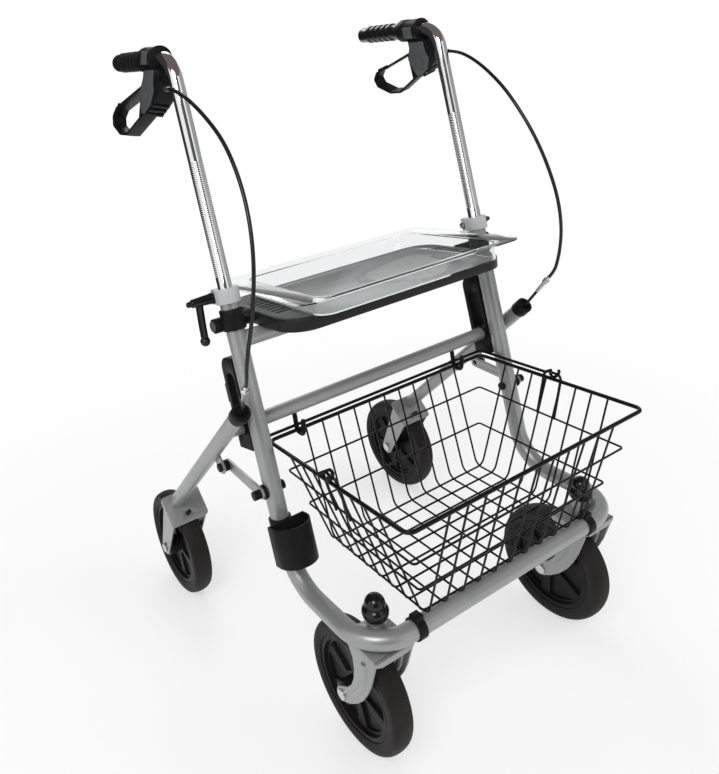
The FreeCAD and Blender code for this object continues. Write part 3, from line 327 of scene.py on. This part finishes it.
def finished(name, finish, edge, corner=30):
    """A copy of a part of the frame with its edges rounded as the real one's are."""
    piece = bpy.data.objects.new(name + "_finished", nodes[name].data.copy())
    bpy.context.scene.collection.objects.link(piece)
    select_only(piece)
    bpy.ops.mesh.customdata_custom_splitnormals_clear()
    bpy.ops.object.mode_set(mode="EDIT")
    bpy.ops.mesh.select_all(action="SELECT")
    bpy.ops.mesh.remove_doubles(threshold=weld_distance)
    bpy.ops.mesh.dissolve_limited(angle_limit=flat_angle)
    bpy.ops.object.mode_set(mode="OBJECT")
    soften(piece, edge, corner)
    stands_for(piece, finish, name)
    return piece


wear(silver_paint, "front_tube", "seat_tube", "caster_sleeves", "leg_tube_left", "leg_tube_right",
     "lower_crossbar")

# The ball caps: glossy black mouldings that close the caster sleeves, a round knob on a bulged skirt. Each is
# pushed on its sleeve from above.
gloss_black = Finish("gloss_black", (0.006, 0.006, 0.007), 0.16, gloss=0.4)
gloss_black.set("Roughness", gloss_black.noise(50, 2) * 0.14 + 0.08)
gloss_black.bump(gloss_black.noise(160, 2), 0.00008)


def turned(name, profile, place, axis="Z", segments=64, smooth=35):
    """A part turned round an axis: a closed profile of (radius, distance along the axis)."""
    bpy.ops.object.select_all(action="DESELECT")
    bpy.ops.mesh.primitive_circle_add(vertices=len(profile), radius=0.01)
    piece = bpy.context.object
    piece.name = name
    along = Vector([letter == axis for letter in "XYZ"])
    outward = Vector((1, 0, 0)) if axis == "Z" else Vector((0, 0, 1))
    for vertex, (radius, height) in zip(piece.data.vertices, profile):
        vertex.co = outward * radius + along * height
    bpy.ops.object.mode_set(mode="EDIT")
    bpy.ops.mesh.select_all(action="SELECT")
    bpy.ops.mesh.spin(steps=segments, angle=2 * math.pi, center=(0, 0, 0), axis=along)
    bpy.ops.mesh.select_all(action="SELECT")
    bpy.ops.mesh.remove_doubles(threshold=weld_distance)
    bpy.ops.mesh.normals_make_consistent(inside=False)
    bpy.ops.object.mode_set(mode="OBJECT")
    piece.location = place
    bpy.ops.object.transform_apply(location=True)
    bpy.ops.object.shade_smooth_by_angle(angle=math.radians(smooth))
    return piece


def joined(name, pieces):
    """Several meshes as one piece."""
    select_only(pieces[0])
    for piece in pieces:
        piece.select_set(True)
    bpy.ops.object.join()
    bpy.context.object.name = name
    return bpy.context.object


ball_radius, ball_steps, ball_turn = 0.0146, 12, 9.2
sleeve_x, sleeve_y, ball_z = 0.213, -0.2655, 0.2755
ball_profile = [(0, ball_radius)]
for step in range(1, ball_steps):
    turn = math.radians(step * ball_turn)
    ball_profile.append((ball_radius * math.sin(turn), ball_radius * math.cos(turn)))
ball_profile += [(0.0148, -0.0036), (0.0168, -0.0052), (0.0183, -0.0080), (0.0189, -0.0115),
                 (0.0187, -0.0135), (0.0181, -0.0140), (0.0185, -0.0147), (0.0176, -0.0180),
                 (0.0160, -0.0210), (0.0142, -0.0218), (0, -0.0218)]
balls = [turned("ball", ball_profile, Vector((sign * sleeve_x, sleeve_y, ball_z)))
         for side, sign in both_sides]
stands_for(joined("ball_caps_moulded", balls), gloss_black, "ball_caps")

# The black moulded fittings: glass-filled nylon with a fine grain from the mould and slightly rounded edges,
# clipped, pinned or screwed on the frame.
coal = (0.005, 0.005, 0.0055)
coal_light = (0.010, 0.010, 0.011)
black_plastic = Finish("black_plastic", coal, 0.42, gloss=0.12)
black_plastic.set("Base Color", black_plastic.blend(black_plastic.noise(60, 3), coal, coal_light))
black_plastic.set("Roughness", black_plastic.noise(90, 2) * 0.25 + 0.3)
black_plastic.bump(black_plastic.noise(900, 2), 0.00012)
for name, edge in (("guide_rail_left", 0.0015), ("guide_rail_right", 0.0015), ("fold_latch_knob", 0.001),
                   ("link_pivot_bolts", 0.0012), ("seat_brackets", 0.0012),
                   ("basket_clips", 0.0008), ("slider_bushes", 0.0004), ("leg_end_caps", 0.0015),
                   ("lug_bolts", 0.0012)):
    finished(name, black_plastic, edge)
holder_edge = 0.0013
finished("cup_holder", black_plastic, holder_edge)
wear(black_plastic, "handle_bushes")

# The rear forks: pressed steel plate with an arm down each side of the wheel, bent and welded under the rear
# legs, painted like the frame.
plate_edge = 0.0018
for name in ("rear_fork_left", "rear_fork_right"):
    finished(name, silver_paint, plate_edge)

# The caster forks: pressed from one steel plate, painted. The arms bow forward on their way down to the axle,
# where they hook back, and a rib is pressed along each. A lip stiffens the top plate's front.
fork_top, fork_wall, fork_lip = 0.2215, 0.004, 0.013
fork_half, fork_front, fork_back = 0.034, 0.037, 0.034
fork_edge, fork_corner, lip_share, lip_slope = 0.0016, 50, 0.6, 0.012
rib_radius, rib_sink, boss_sink = 0.006, 0.003, 0.001
boss_profile = [(0, 0), (0.012, 0), (0.012, 0.0045), (0.0115, 0.0052), (0, 0.0052)]
arm_outline = ((-0.3012, 0.2190), (-0.2985, 0.2050), (-0.2940, 0.1900), (-0.2885, 0.1720), (-0.2800, 0.1520),
               (-0.2680, 0.1310), (-0.2530, 0.1130), (-0.2370, 0.0990), (-0.2230, 0.0905), (-0.2120, 0.0875),
               (-0.2050, 0.0910), (-0.2030, 0.0985), (-0.2065, 0.1075), (-0.2180, 0.1155), (-0.2310, 0.1250),
               (-0.2420, 0.1390), (-0.2490, 0.1560), (-0.2515, 0.1750), (-0.2500, 0.1940), (-0.2440, 0.2070),
               (-0.2340, 0.2150), (-0.2320, 0.2190))
rib_path = ((-0.2760, 0.2020), (-0.2770, 0.1850), (-0.2720, 0.1640), (-0.2620, 0.1440), (-0.2480, 0.1250))


def cut_plate(name, corners, through):
    """A plate: a flat outline of corners, and the way through its thickness."""
    bpy.ops.object.select_all(action="DESELECT")
    bpy.ops.mesh.primitive_circle_add(vertices=len(corners), radius=0.01, fill_type="NGON")
    plate = bpy.context.object
    plate.name = name
    for vertex, corner in zip(plate.data.vertices, corners):
        vertex.co = corner
    bpy.ops.object.mode_set(mode="EDIT")
    bpy.ops.mesh.select_all(action="SELECT")
    bpy.ops.mesh.extrude_region_move(TRANSFORM_OT_translate={"value": through})
    bpy.ops.mesh.select_all(action="SELECT")
    bpy.ops.mesh.normals_make_consistent(inside=False)
    bpy.ops.object.mode_set(mode="OBJECT")
    return plate


def bent_wires(name, runs, radius, closed=False, swell=None, sides=2):
    """Round wires or bars along runs of points, as one mesh. Swell gives each point's share of the radius."""
    curve = bpy.data.curves.new(name, "CURVE")
    curve.dimensions = "3D"
    curve.bevel_depth = radius
    curve.bevel_resolution = sides
    curve.use_fill_caps = True
    for run in runs:
        spline = curve.splines.new("POLY")
        spline.points.add(len(run) - 1)
        for index, place in enumerate(run):
            spline.points[index].co = (*place, 1)
            spline.points[index].radius = swell[index] if swell else 1
        spline.use_cyclic_u = closed
    piece = bpy.data.objects.new(name, curve)
    bpy.context.scene.collection.objects.link(piece)
    select_only(piece)
    bpy.ops.object.convert(target="MESH")
    piece = bpy.context.object
    bpy.ops.object.shade_smooth_by_angle(angle=math.radians(40))
    return piece


for side, sign in both_sides:
    middle = sign * sleeve_x
    top = [(-fork_half, -fork_front), (fork_half, -fork_front),
           (fork_half, fork_back), (-fork_half, fork_back)]
    plates = [cut_plate("plate", [Vector((middle + x, sleeve_y + y, fork_top)) for x, y in top],
                        Vector((0, 0, -fork_wall)))]
    lip = [(-fork_half, 0), (fork_half, 0), (fork_half, -fork_lip * lip_share),
           (fork_half - lip_slope, -fork_lip), (lip_slope - fork_half, -fork_lip),
           (-fork_half, -fork_lip * lip_share)]
    lip = [Vector((middle + x, sleeve_y - fork_front, fork_top + z)) for x, z in lip]
    plates.append(cut_plate("lip", lip, Vector((0, fork_wall, 0))))
    ribs = []
    for outward in (1, -1):
        face = middle + outward * fork_half
        plates.append(cut_plate("arm", [Vector((face, y, z)) for y, z in arm_outline],
                                Vector((-outward * fork_wall, 0, 0))))
        ribs.append([Vector((face - outward * rib_sink, y, z)) for y, z in rib_path])
    pressed = joined("caster_fork_pressed_" + side, plates)
    soften(pressed, fork_edge, fork_corner)
    boss = turned("boss", boss_profile, Vector((middle, sleeve_y, fork_top - boss_sink)))
    rib = bent_wires("ribs", ribs, rib_radius, sides=6)
    fork = joined("caster_fork_pressed_" + side, [pressed, rib, boss])
    stands_for(fork, silver_paint, "caster_fork_" + side)

# Bolts, axles and cable adjusters: zinc-plated steel, bright but not polished. The flat fold links are cut
# from strip and painted like the frame.
steel_edge, link_edge = 0.0006, 0.0008
bright_steel = Finish("zinc_steel", (0.62, 0.62, 0.63), 0.28, metallic=1)
bright_steel.set("Roughness", bright_steel.noise(240, 3) * 0.3 + 0.15)
bright_steel.bump(bright_steel.noise(700, 2), 0.00005)
for name in ("collar_bolts", "rear_axles", "cable_adjusters", "front_axle_left", "front_axle_right"):
    finished(name, bright_steel, steel_edge)
for name in ("fold_link_left", "fold_link_right"):
    finished(name, silver_paint, link_edge)

# The height collars: pale grey nylon clamps round the uprights' upper ends, split at the back and drawn
# together by the clamp bolt.
collar_edge = 0.0012
pale_grey = Finish("grey_plastic", (0.42, 0.43, 0.44), 0.4)
pale_grey.set("Roughness", pale_grey.noise(120, 2) * 0.2 + 0.3)
pale_grey.bump(pale_grey.noise(800, 2), 0.0001)
finished("height_collars", pale_grey, collar_edge)

# The clamp levers: glossy black nylon, moulded round the bolt. The hub tapers to a stepped nub, and a flat arm
# bends down from it to a ball at its end.
hub_profile = [(0, 0), (0.0085, 0), (0.0085, 0.004), (0.0078, 0.0050), (0.0062, 0.0350), (0.0055, 0.0362),
               (0.0044, 0.0366), (0.0042, 0.0410), (0.0034, 0.0426), (0, 0.043)]
hub_radius, arm_steps, arm_edge = 0.0085, 6, 0.0022
arm_place, arm_drop, arm_bend, arm_half, arm_wide = 0.0237, 0.060, 0.004, 0.0035, 0.011
knob_radius = 0.0075
knob_profile = [(knob_radius * math.sin(turn), knob_radius * math.cos(turn))
                for turn in [math.radians(15 * step) for step in range(13)]]
for side, sign in both_sides:
    low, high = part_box("clamp_lever_" + side)
    start = low.x if sign == 1 else high.x
    centre_y, centre_z = (low.y + high.y) / 2, high.z - hub_radius
    hub = turned("hub", [(radius, sign * along) for radius, along in hub_profile],
                 Vector((start, centre_y, centre_z)), axis="X")
    front, back = [], []
    x = start + sign * (arm_place - arm_wide / 2)
    for step in range(arm_steps + 1):
        share = step / arm_steps
        y, z = centre_y - arm_bend * share ** 2, centre_z - arm_drop * share
        front.append(Vector((x, y - arm_half, z)))
        back.append(Vector((x, y + arm_half, z)))
    arm = cut_plate("arm", front + back[::-1], Vector((sign * arm_wide, 0, 0)))
    soften(arm, arm_edge)
    end = Vector((start + sign * arm_place, centre_y - arm_bend, centre_z - arm_drop))
    lever = joined("clamp_lever_moulded_" + side, [hub, arm, turned("knob", knob_profile, end)])
    stands_for(lever, gloss_black, "clamp_lever_" + side)

# The handle tubes: bent steel tube, chromed bright. Below the bend fine rings are rolled into the tube, on
# which the collar grips.
# The chrome mirrors the dark boards as long streaks, and its colour carries a painted reflection in cloudy
# patches.
chrome = Finish("chrome", (0.84, 0.84, 0.85), 0.06, metallic=1)
# Painted reflection: the chrome's colour goes in cloudy patches from a faintly brown grey to a bright grey.
chrome.set("Base Color", chrome.blend(chrome.noise(14, 2), (0.78, 0.775, 0.77), (0.87, 0.87, 0.88)))
chrome.set("Roughness", chrome.noise(40, 2) * 0.06 + 0.03)
rake = math.radians(13.5)
upward = Vector((0, math.sin(rake), math.cos(rake)))
upright_x, seat_tube_y, seat_tube_z = 0.25, -0.0345, 0.6
tube_radius, tube_foot, tube_bend, bend_steps = 0.011, -0.079, 0.04, 14
grip_height, tube_end = 0.998, 0.252
first_ring, last_ring, ring_pitch, ring_depth = 0.095, 0.262, 0.0028, 0.00035
ring_groove = ((0, 0), (0.3, ring_depth), (0.7, ring_depth))


def on_upright(along, side=1):
    """A point on an upright's axis, that far above the seat's cross tube."""
    return Vector((side * upright_x, seat_tube_y, seat_tube_z)) + upward * along


def rounded_run(points, radius, steps=6, closed=False):
    """The points of a bent wire or tube: straight runs with a round bend at each corner."""
    count = len(points)
    run = [] if closed else [points[0]]
    for index in range(0 if closed else 1, count if closed else count - 1):
        corner = points[index]
        before = (points[index - 1] - corner).normalized()
        after = (points[(index + 1) % count] - corner).normalized()
        half = before.angle(after) / 2
        centre = corner + (before + after).normalized() * (radius / math.sin(half))
        first = (corner + before * (radius / math.tan(half)) - centre).normalized()
        last = (corner + after * (radius / math.tan(half)) - centre).normalized()
        run += [centre + first.slerp(last, step / steps) * radius for step in range(steps + 1)]
    return run if closed else run + [points[-1]]


bend_along = (grip_height - seat_tube_z) / math.cos(rake)
for side, sign in both_sides:
    run = [on_upright(tube_foot, sign)]
    swell = [1]
    rings = round((last_ring - first_ring) / ring_pitch)
    for ring in range(rings):
        for share, depth in ring_groove:
            run.append(on_upright(first_ring + (ring + share) * ring_pitch, sign))
            swell.append(1 - depth / tube_radius)
    end = Vector((sign * upright_x, tube_end, grip_height))
    bend = rounded_run([run[-1], on_upright(bend_along, sign), end], tube_bend, bend_steps)
    run += bend[1:]
    swell += [1] * (len(bend) - 1)
    tube = bent_wires("handle_tube_chromed_" + side, [run], tube_radius, swell=swell, sides=8)
    stands_for(tube, chrome, "handle_tube_" + side)

# The grips: black ribbed plastic sleeves, moulded in one piece and pushed over the tubes, glossy where hands
# have rubbed the ribs.
grip_edge, grip_corner = 0.001, 50
grip_black = Finish("grip_black", (0.007, 0.007, 0.008), 0.3, gloss=0.7)
grip_black.set("Roughness", grip_black.noise(70, 2) * 0.2 + 0.12)
grip_black.bump(grip_black.noise(500, 2), 0.0001)
for side, sign in both_sides:
    finished("grip_" + side, grip_black, grip_edge, grip_corner)

# The brake units: a black body clamped round the handle by a stepped ring, with a dark grey cover plate and a
# boss on each cheek, steps down its front, and a pale ferrule where the cable leaves.
plate_grey = Finish("plate_grey", (0.072, 0.076, 0.081), 0.5, gloss=0.3)
plate_grey.set("Roughness", plate_grey.noise(90, 2) * 0.2 + 0.38)
plate_grey.bump(plate_grey.noise(700, 3), 0.00015)
pin_edge, unit_edge, cover_edge, trim_edge = 0.001, 0.0012, 0.0004, 0.0003
finished("seat_pivot_pins", plate_grey, pin_edge)
unit_lean = math.radians(14)
unit_front = 0.0955
cheek, plate_thickness, boss_height = 0.014, 0.0008, 0.0022
pad_inner, pad_outer = 0.0135, 0.0189
plate_outline = ((-0.0105, 0.0175), (0.0265, 0.0175), (0.0265, 0.0275), (0.0355, 0.0480), (0.0305, 0.0655),
                 (0.0225, 0.0785), (0.0115, 0.0785), (-0.0080, 0.0660), (-0.0140, 0.0530), (-0.0160, 0.0460),
                 (-0.0120, 0.0380), (-0.0105, 0.0280))
boss_outline = [(0.012 + 0.0095 * math.cos(turn), 0.056 + 0.013 * math.sin(turn))
                for turn in [math.radians(15 * step) for step in range(24)]]
step_centres = ((-0.0125, 0.0665), (-0.003, 0.0725), (0.006, 0.0785))
step_along, step_out = Vector((0.847, 0.531)) * 0.0026, Vector((-0.531, 0.847)) * 0.0014
step_half = 0.013
ferrule_x, ferrule_z, ferrule_radius, ferrule_ends = 0.2656, 0.9575, 0.0037, (0.066, 0.050)
pad_outline = ((0.009, -0.0095), (0.030, -0.0095), (0.030, 0.0095), (0.009, 0.0095))
ring_profile = [(0.0176, 0.0), (0.0187, 0.0004), (0.0190, 0.0010), (0.0190, 0.0058), (0.0184, 0.0066),
                (0.0182, 0.0080), (0.0182, 0.0300), (0.0185, 0.0330), (0.0190, 0.0345), (0.0190, 0.0480),
                (0.0187, 0.0486), (0.0176, 0.0490)]


def on_unit(out, back, down, sign):
    """A point of a brake unit: out from its middle, behind its front and below the grip's axis."""
    return Vector((sign * (upright_x + out * math.cos(unit_lean) + down * math.sin(unit_lean)),
                   unit_front + back, grip_height + out * math.sin(unit_lean) - down * math.cos(unit_lean)))


def unit_plate(name, outline, inner, outer, sign):
    """A plate across a brake unit, cut to an outline of (behind, below)."""
    return cut_plate(name, [on_unit(inner, back, down, sign) for back, down in outline],
                     on_unit(outer, 0, 0, sign) - on_unit(inner, 0, 0, sign))


for side, sign in both_sides:
    node = "brake_housing_" + side
    finished(node, black_plastic, unit_edge)
    covers = []
    for outward in (1, -1):
        face = outward * cheek
        covers.append(unit_plate("cover", plate_outline, face, face + outward * plate_thickness, sign))
        covers.append(unit_plate("boss", boss_outline, face, face + outward * boss_height, sign))
        covers.append(unit_plate("pad", pad_outline, outward * pad_inner, outward * pad_outer, sign))
    cover = joined("brake_unit_covers_" + side, covers)
    soften(cover, cover_edge)
    goes_with(cover, plate_grey, node)
    trims = [turned("ring", ring_profile, Vector((sign * upright_x, unit_front, grip_height)), axis="Y")]
    for centre in step_centres:
        outline = [tuple(Vector(centre) + corner) for corner in (
            -step_along - step_out, step_along - step_out, step_along + step_out, -step_along + step_out)]
        trims.append(unit_plate("step", outline, -step_half, step_half, sign))
    trim = joined("brake_unit_trim_" + side, trims)
    soften(trim, trim_edge)
    goes_with(trim, black_plastic, node)
    ends = [Vector((sign * ferrule_x, y, ferrule_z)) for y in ferrule_ends]
    ferrule = bent_wires("cable_ferrule_" + side, [ends], ferrule_radius, sides=4)
    goes_with(ferrule, bright_steel, node)

# The brake levers: black strap loops, as wide as two fingers, that pivot in the brake units. The strap's end
# is rolled over at the back.
lever_edge = 0.0012
roll_half, roll_back, roll_drop, roll_radius = 0.0108, 0.129, 0.0672, 0.0038
for side, sign in both_sides:
    node = "brake_lever_" + side
    finished(node, black_plastic, lever_edge)
    ends = [on_unit(out, roll_back, roll_drop, sign) for out in (-roll_half, roll_half)]
    goes_with(bent_wires("lever_roll_" + side, [ends], roll_radius, sides=4), gloss_black, node)

# The seat: a black moulded board with a fine leather-like grain and air slots near its ends. It turns on two
# pins and lies on the cross tube.
seat_edge, grain_scale = 0.003, 420
seat_black = Finish("seat_black", (0.010, 0.010, 0.011), 0.5, gloss=0.25)
grain = seat_black.node("ShaderNodeTexVoronoi", {"feature": "DISTANCE_TO_EDGE"},
                        {"Vector": seat_black.place, "Scale": grain_scale})
seat_black.set("Roughness", seat_black.noise(60, 2) * 0.2 + 0.32)
seat_black.bump(seat_black.ramp(grain, 0.0, 0.3), 0.0002)
finished("seat_board", seat_black, seat_edge)

# The tray: one sheet of clear plastic, vacuum formed, with a flat rim all round. It lies loose on the seat
# between the handles.
tray_edge = 0.0008
clear_plastic = Finish("clear_plastic", (0.86, 0.88, 0.88), 0.05)
clear_plastic.set("Transmission Weight", 1.0)
clear_plastic.set("IOR", 1.3)
finished("tray", clear_plastic, tray_edge)

# The basket: black coated wire, welded. Hoops run down one side, across the base and up the other; two
# level rings and a thick rim hold them. A bent bracket on each short side carries the handle.
wire_black = Finish("wire_black", (0.005, 0.005, 0.006), 0.3, gloss=0.18)
wire_black.set("Roughness", wire_black.noise(120, 2) * 0.2 + 0.2)
wire_black.bump(wire_black.noise(500, 2), 0.00008)
rim_wire, hoop_wire = 0.003, 0.0016
rim_x, base_x = 0.225, 0.163
rim_back_y, rim_front_y = -0.0465, -0.3565
base_back_y, base_front_y = -0.0965, -0.3085
rim_back_z, rim_slope = 0.431, math.radians(2)
base_z = 0.2567
rim_corner, base_corner, ring_corner = 0.012, 0.016, 0.005
long_hoops, long_pitch = 11, 0.0315
cross_hoops, cross_pitch = 8, 0.028
ring_heights = (0.3215, 0.3795)


def rim_height(y):
    """The rim climbs a little towards the front."""
    return rim_back_z + (rim_back_y - y) * math.tan(rim_slope)


def basket_corners(height):
    """The four corners of the basket's walls at a height."""
    def reach(base, rim, y):
        share = (height - base_z) / (rim_height(y) - base_z)
        return base + (rim - base) * share
    back = reach(base_back_y, rim_back_y, rim_back_y)
    front = reach(base_front_y, rim_front_y, rim_front_y)
    side = reach(base_x, rim_x, (rim_back_y + rim_front_y) / 2)
    return [Vector((-side, back, height)), Vector((side, back, height)),
            Vector((side, front, height)), Vector((-side, front, height))]


hoops = []
for index in range(long_hoops):
    x = (index - (long_hoops - 1) / 2) * long_pitch
    corners = ((rim_back_y, rim_height(rim_back_y)), (base_back_y, base_z), (base_front_y, base_z),
               (rim_front_y, rim_height(rim_front_y)))
    hoops.append(rounded_run([Vector((x, y, z)) for y, z in corners], base_corner))
for index in range(cross_hoops):
    y = (base_back_y + base_front_y) / 2 + (index - (cross_hoops - 1) / 2) * cross_pitch
    corners = ((-rim_x, rim_height(y)), (-base_x, base_z + hoop_wire), (base_x, base_z + hoop_wire),
               (rim_x, rim_height(y)))
    hoops.append(rounded_run([Vector((x, y, z)) for x, z in corners], base_corner))
rings = [rounded_run(basket_corners(height), ring_corner, closed=True) for height in ring_heights]
corners = ((-rim_x, rim_back_y), (rim_x, rim_back_y), (rim_x, rim_front_y), (-rim_x, rim_front_y))
rim = rounded_run([Vector((x, y, rim_height(y))) for x, y in corners], rim_corner, closed=True)
pivot_y = (rim_back_y + rim_front_y) / 2
pivot_z = rim_height(pivot_y) + 0.0058
bracket_half, bracket_rise, bracket_fall, bracket_corner = 0.016, 0.0055, 0.06, 0.009
bracket_wire, foot_gap = 0.0022, 0.003
brackets = []
for side, sign in both_sides:
    lean = (rim_x - base_x) / (rim_height(pivot_y) - base_z)
    foot_x = sign * (rim_x - lean * bracket_fall + foot_gap)
    foot = Vector((foot_x, pivot_y, rim_height(pivot_y) - bracket_fall))
    top = Vector((sign * rim_x, pivot_y, pivot_z + bracket_rise))
    out = Vector((0, bracket_half, 0))
    brackets.append(rounded_run([foot - out, top - out, top + out, foot + out], bracket_corner))
basket = joined("basket_welded", [bent_wires("hoops", hoops, hoop_wire),
                                  bent_wires("rings", rings, hoop_wire, True),
                                  bent_wires("rim", [rim], rim_wire, True, sides=4),
                                  bent_wires("brackets", brackets, bracket_wire, sides=3)])
stands_for(basket, wire_black, "basket_wires")

# The basket's handle: one bent wire, coated like the basket, that lies just outside the rim and hooks round
# the brackets' top bars.
bail_wire, bail_gap, bail_corner, bail_reach = 0.0025, 0.0057, 0.012, 0.02
bail_x = rim_x + bail_gap
bail_back_y = rim_back_y + bail_gap
eye_radius, eye_pitch, eye_step = 0.0062, 0.002, 30


def over_rim(x, y):
    return Vector((x, y, rim_height(y) + rim_wire + bail_wire))


arms = rounded_run([over_rim(-bail_x, pivot_y + bail_reach), over_rim(-bail_x, bail_back_y),
                    over_rim(bail_x, bail_back_y), over_rim(bail_x, pivot_y + bail_reach)], bail_corner)
hooks = []
for sign, end in ((-1, arms[0]), (1, arms[-1])):
    eye = Vector((sign * rim_x, pivot_y, pivot_z + bracket_rise))
    loop = [eye - Vector((sign * math.cos(turn) * eye_radius, eye_pitch * turn, math.sin(turn) * eye_radius))
            for turn in [math.radians(eye_step * step) for step in range(-2, 9)]]
    hooks.append([end] + loop)
bail = bent_wires("basket_handle", [hooks[0][::-1] + arms[1:-1] + hooks[1]], bail_wire, sides=3)
stands_for(bail, wire_black, "basket_bail")

# The hangers: black moulded hooks, screwed under the crossbar and bent to a V that takes the basket's rear
# rim. The basket lifts straight out of them.
for_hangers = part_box("lower_crossbar")
crossbar_y = (for_hangers[0].y + for_hangers[1].y) / 2
crossbar_z = (for_hangers[0].z + for_hangers[1].z) / 2
hanger_x, hanger_rod, hanger_gap = 0.168, 0.0038, 0.0003
hook_corner, hook_half = 0.0075, Vector((0, 0.0088, 0))
hook_top, hook_tip = (0.004, -0.010), Vector((0, -0.0115, 0.026))
bed = Vector((0, rim_back_y, rim_back_z - rim_wire - hanger_rod - hanger_gap))
hangers = []
for side, sign in both_sides:
    low = bed + Vector((sign * hanger_x, 0, 0))
    top = Vector((sign * hanger_x, crossbar_y + hook_top[0], crossbar_z + hook_top[1]))
    hook = rounded_run([top, low + hook_half, low - hook_half, low + hook_tip], hook_corner)
    hangers.append(bent_wires("hook", [hook], hanger_rod, sides=4))
stands_for(joined("basket_hangers_bent", hangers), black_plastic, "basket_hangers")

# The wheels: a solid dark rubber tyre with fine lines round its tread, pressed on a hub that is moulded in
# black nylon and turns on its axle bolt.
tyre_rubber = Finish("tyre_rubber", (0.013, 0.011, 0.0105), 0.62, gloss=0.18)
tyre_rubber.set("Base Color", tyre_rubber.blend(tyre_rubber.noise(25, 4), (0.010, 0.0085, 0.008),
                                                (0.019, 0.016, 0.0155)))
tyre_rubber.set("Roughness", tyre_rubber.noise(60, 3) * 0.25 + 0.45)
tyre_rubber.bump(tyre_rubber.noise(600, 3), 0.00015)
tyre_half, tyre_bore, shoulder, crown_rise, crown_power = 0.018, 0.078, 0.089, 0.011, 0.7
tread_steps, first_groove, last_groove, groove_every, groove_depth = 40, 9, 31, 3, 0.0006
wall = [(tyre_bore, -0.016), (0.0805, -0.0172), (0.0822, -0.0172),
        (0.0832, -tyre_half), (shoulder, -tyre_half)]
tread = []
for step in range(1, tread_steps):
    turn = math.pi * step / tread_steps
    crown = shoulder + crown_rise * math.sin(turn) ** crown_power
    if first_groove <= step <= last_groove and step % groove_every == 0:
        crown -= groove_depth
    tread.append((crown, -math.cos(turn) * tyre_half))
outline = wall + tread + [(radius, -height) for radius, height in reversed(wall)]
hub_black = Finish("hub_black", (0.008, 0.007, 0.007), 0.38, gloss=0.12)
hub_black.set("Roughness", hub_black.noise(80, 2) * 0.25 + 0.28)
hub_black.bump(hub_black.noise(700, 2), 0.0001)
hub_edge = 0.0012
for end in ("front", "rear"):
    for side, sign in both_sides:
        low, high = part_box(f"{end}_tyre_{side}")
        centre = (low + high) / 2
        tyre = turned(f"{end}_tyre_moulded_{side}", outline, centre, axis="X", segments=96, smooth=60)
        stands_for(tyre, tyre_rubber, f"{end}_tyre_{side}")
        finished(f"{end}_hub_{side}", hub_black, hub_edge)

# The brake shoes: black moulded blocks on stems that slide under the rear fork plates. The cables draw them
# on the tyres.
shoe_edge = 0.001
for side, sign in both_sides:
    finished("brake_shoe_" + side, black_plastic, shoe_edge)

# The brake cables: glossy black sheath on a steel wire. Each leaves its brake unit forward, swings out in
# front of the handle and comes down to the adjuster at the top of the rear leg.
sheath = Finish("cable_sheath", (0.009, 0.009, 0.010), 0.25, gloss=0.35)
sheath.set("Roughness", sheath.noise(150, 2) * 0.2 + 0.15)
sheath.bump(sheath.noise(700, 2), 0.00005)
cable_route = ((0.2656, 0.0612, 0.9575), (0.2656, 0.0435, 0.9575), (0.2650, 0.0135, 0.9515),
               (0.2630, -0.0205, 0.9355), (0.2605, -0.0525, 0.9145), (0.2590, -0.0805, 0.8915),
               (0.2602, -0.1055, 0.8615), (0.2635, -0.1265, 0.8295), (0.2682, -0.1420, 0.7970),
               (0.2740, -0.1530, 0.7640), (0.2810, -0.1600, 0.7305), (0.2880, -0.1623, 0.6970),
               (0.2945, -0.1603, 0.6630), (0.2996, -0.1540, 0.6310), (0.3010, -0.1485, 0.6090),
               (0.3002, -0.1438, 0.5914), (0.2982, -0.1351, 0.5793))
cable_diameter, cable_length = 0.0055, 0.5017
stretches = ((0.0, 0.45, "handle_{}", "front_frame"), (0.45, 0.8, "front_frame", "carriage"),
             (0.8, 1.0, "carriage", "rear_frame"))
for side, sign in both_sides:
    curve = bpy.data.curves.new("route_" + side, "CURVE")
    curve.dimensions = "3D"
    spline = curve.splines.new("NURBS")
    spline.points.add(len(cable_route) - 1)
    for point, place in zip(spline.points, cable_route):
        point.co = (sign * place[0], place[1], place[2], 1)
    spline.order_u = 3
    spline.use_endpoint_u = True
    curve.resolution_u = 12
    route = bpy.data.objects.new("route_" + side, curve)
    bpy.context.scene.collection.objects.link(route)
    line = bpy.data.meshes.new_from_object(route)
    points = [vertex.co.copy() for vertex in line.vertices]
    bpy.data.objects.remove(route)
    reached = [0]
    for first, second in zip(points, points[1:]):
        reached.append(reached[-1] + (second - first).length)
    for number, (start, end, above, below) in enumerate(stretches, 1):
        first, last = (min(range(len(points)), key=lambda index: abs(reached[index] - share * reached[-1]))
                       for share in (start, end))
        part = points[first:last + 1]
        piece = bent_wires(f"brake_cable_{side}_{number}", [part], cable_diameter / 2, sides=4)
        piece.data.materials.append(sheath.material)
        above = above.format(side)
        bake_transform(piece)
        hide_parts("brake_cable_" + side)
        cable_length * (end - start)
wear(sheath, "cable_boots")
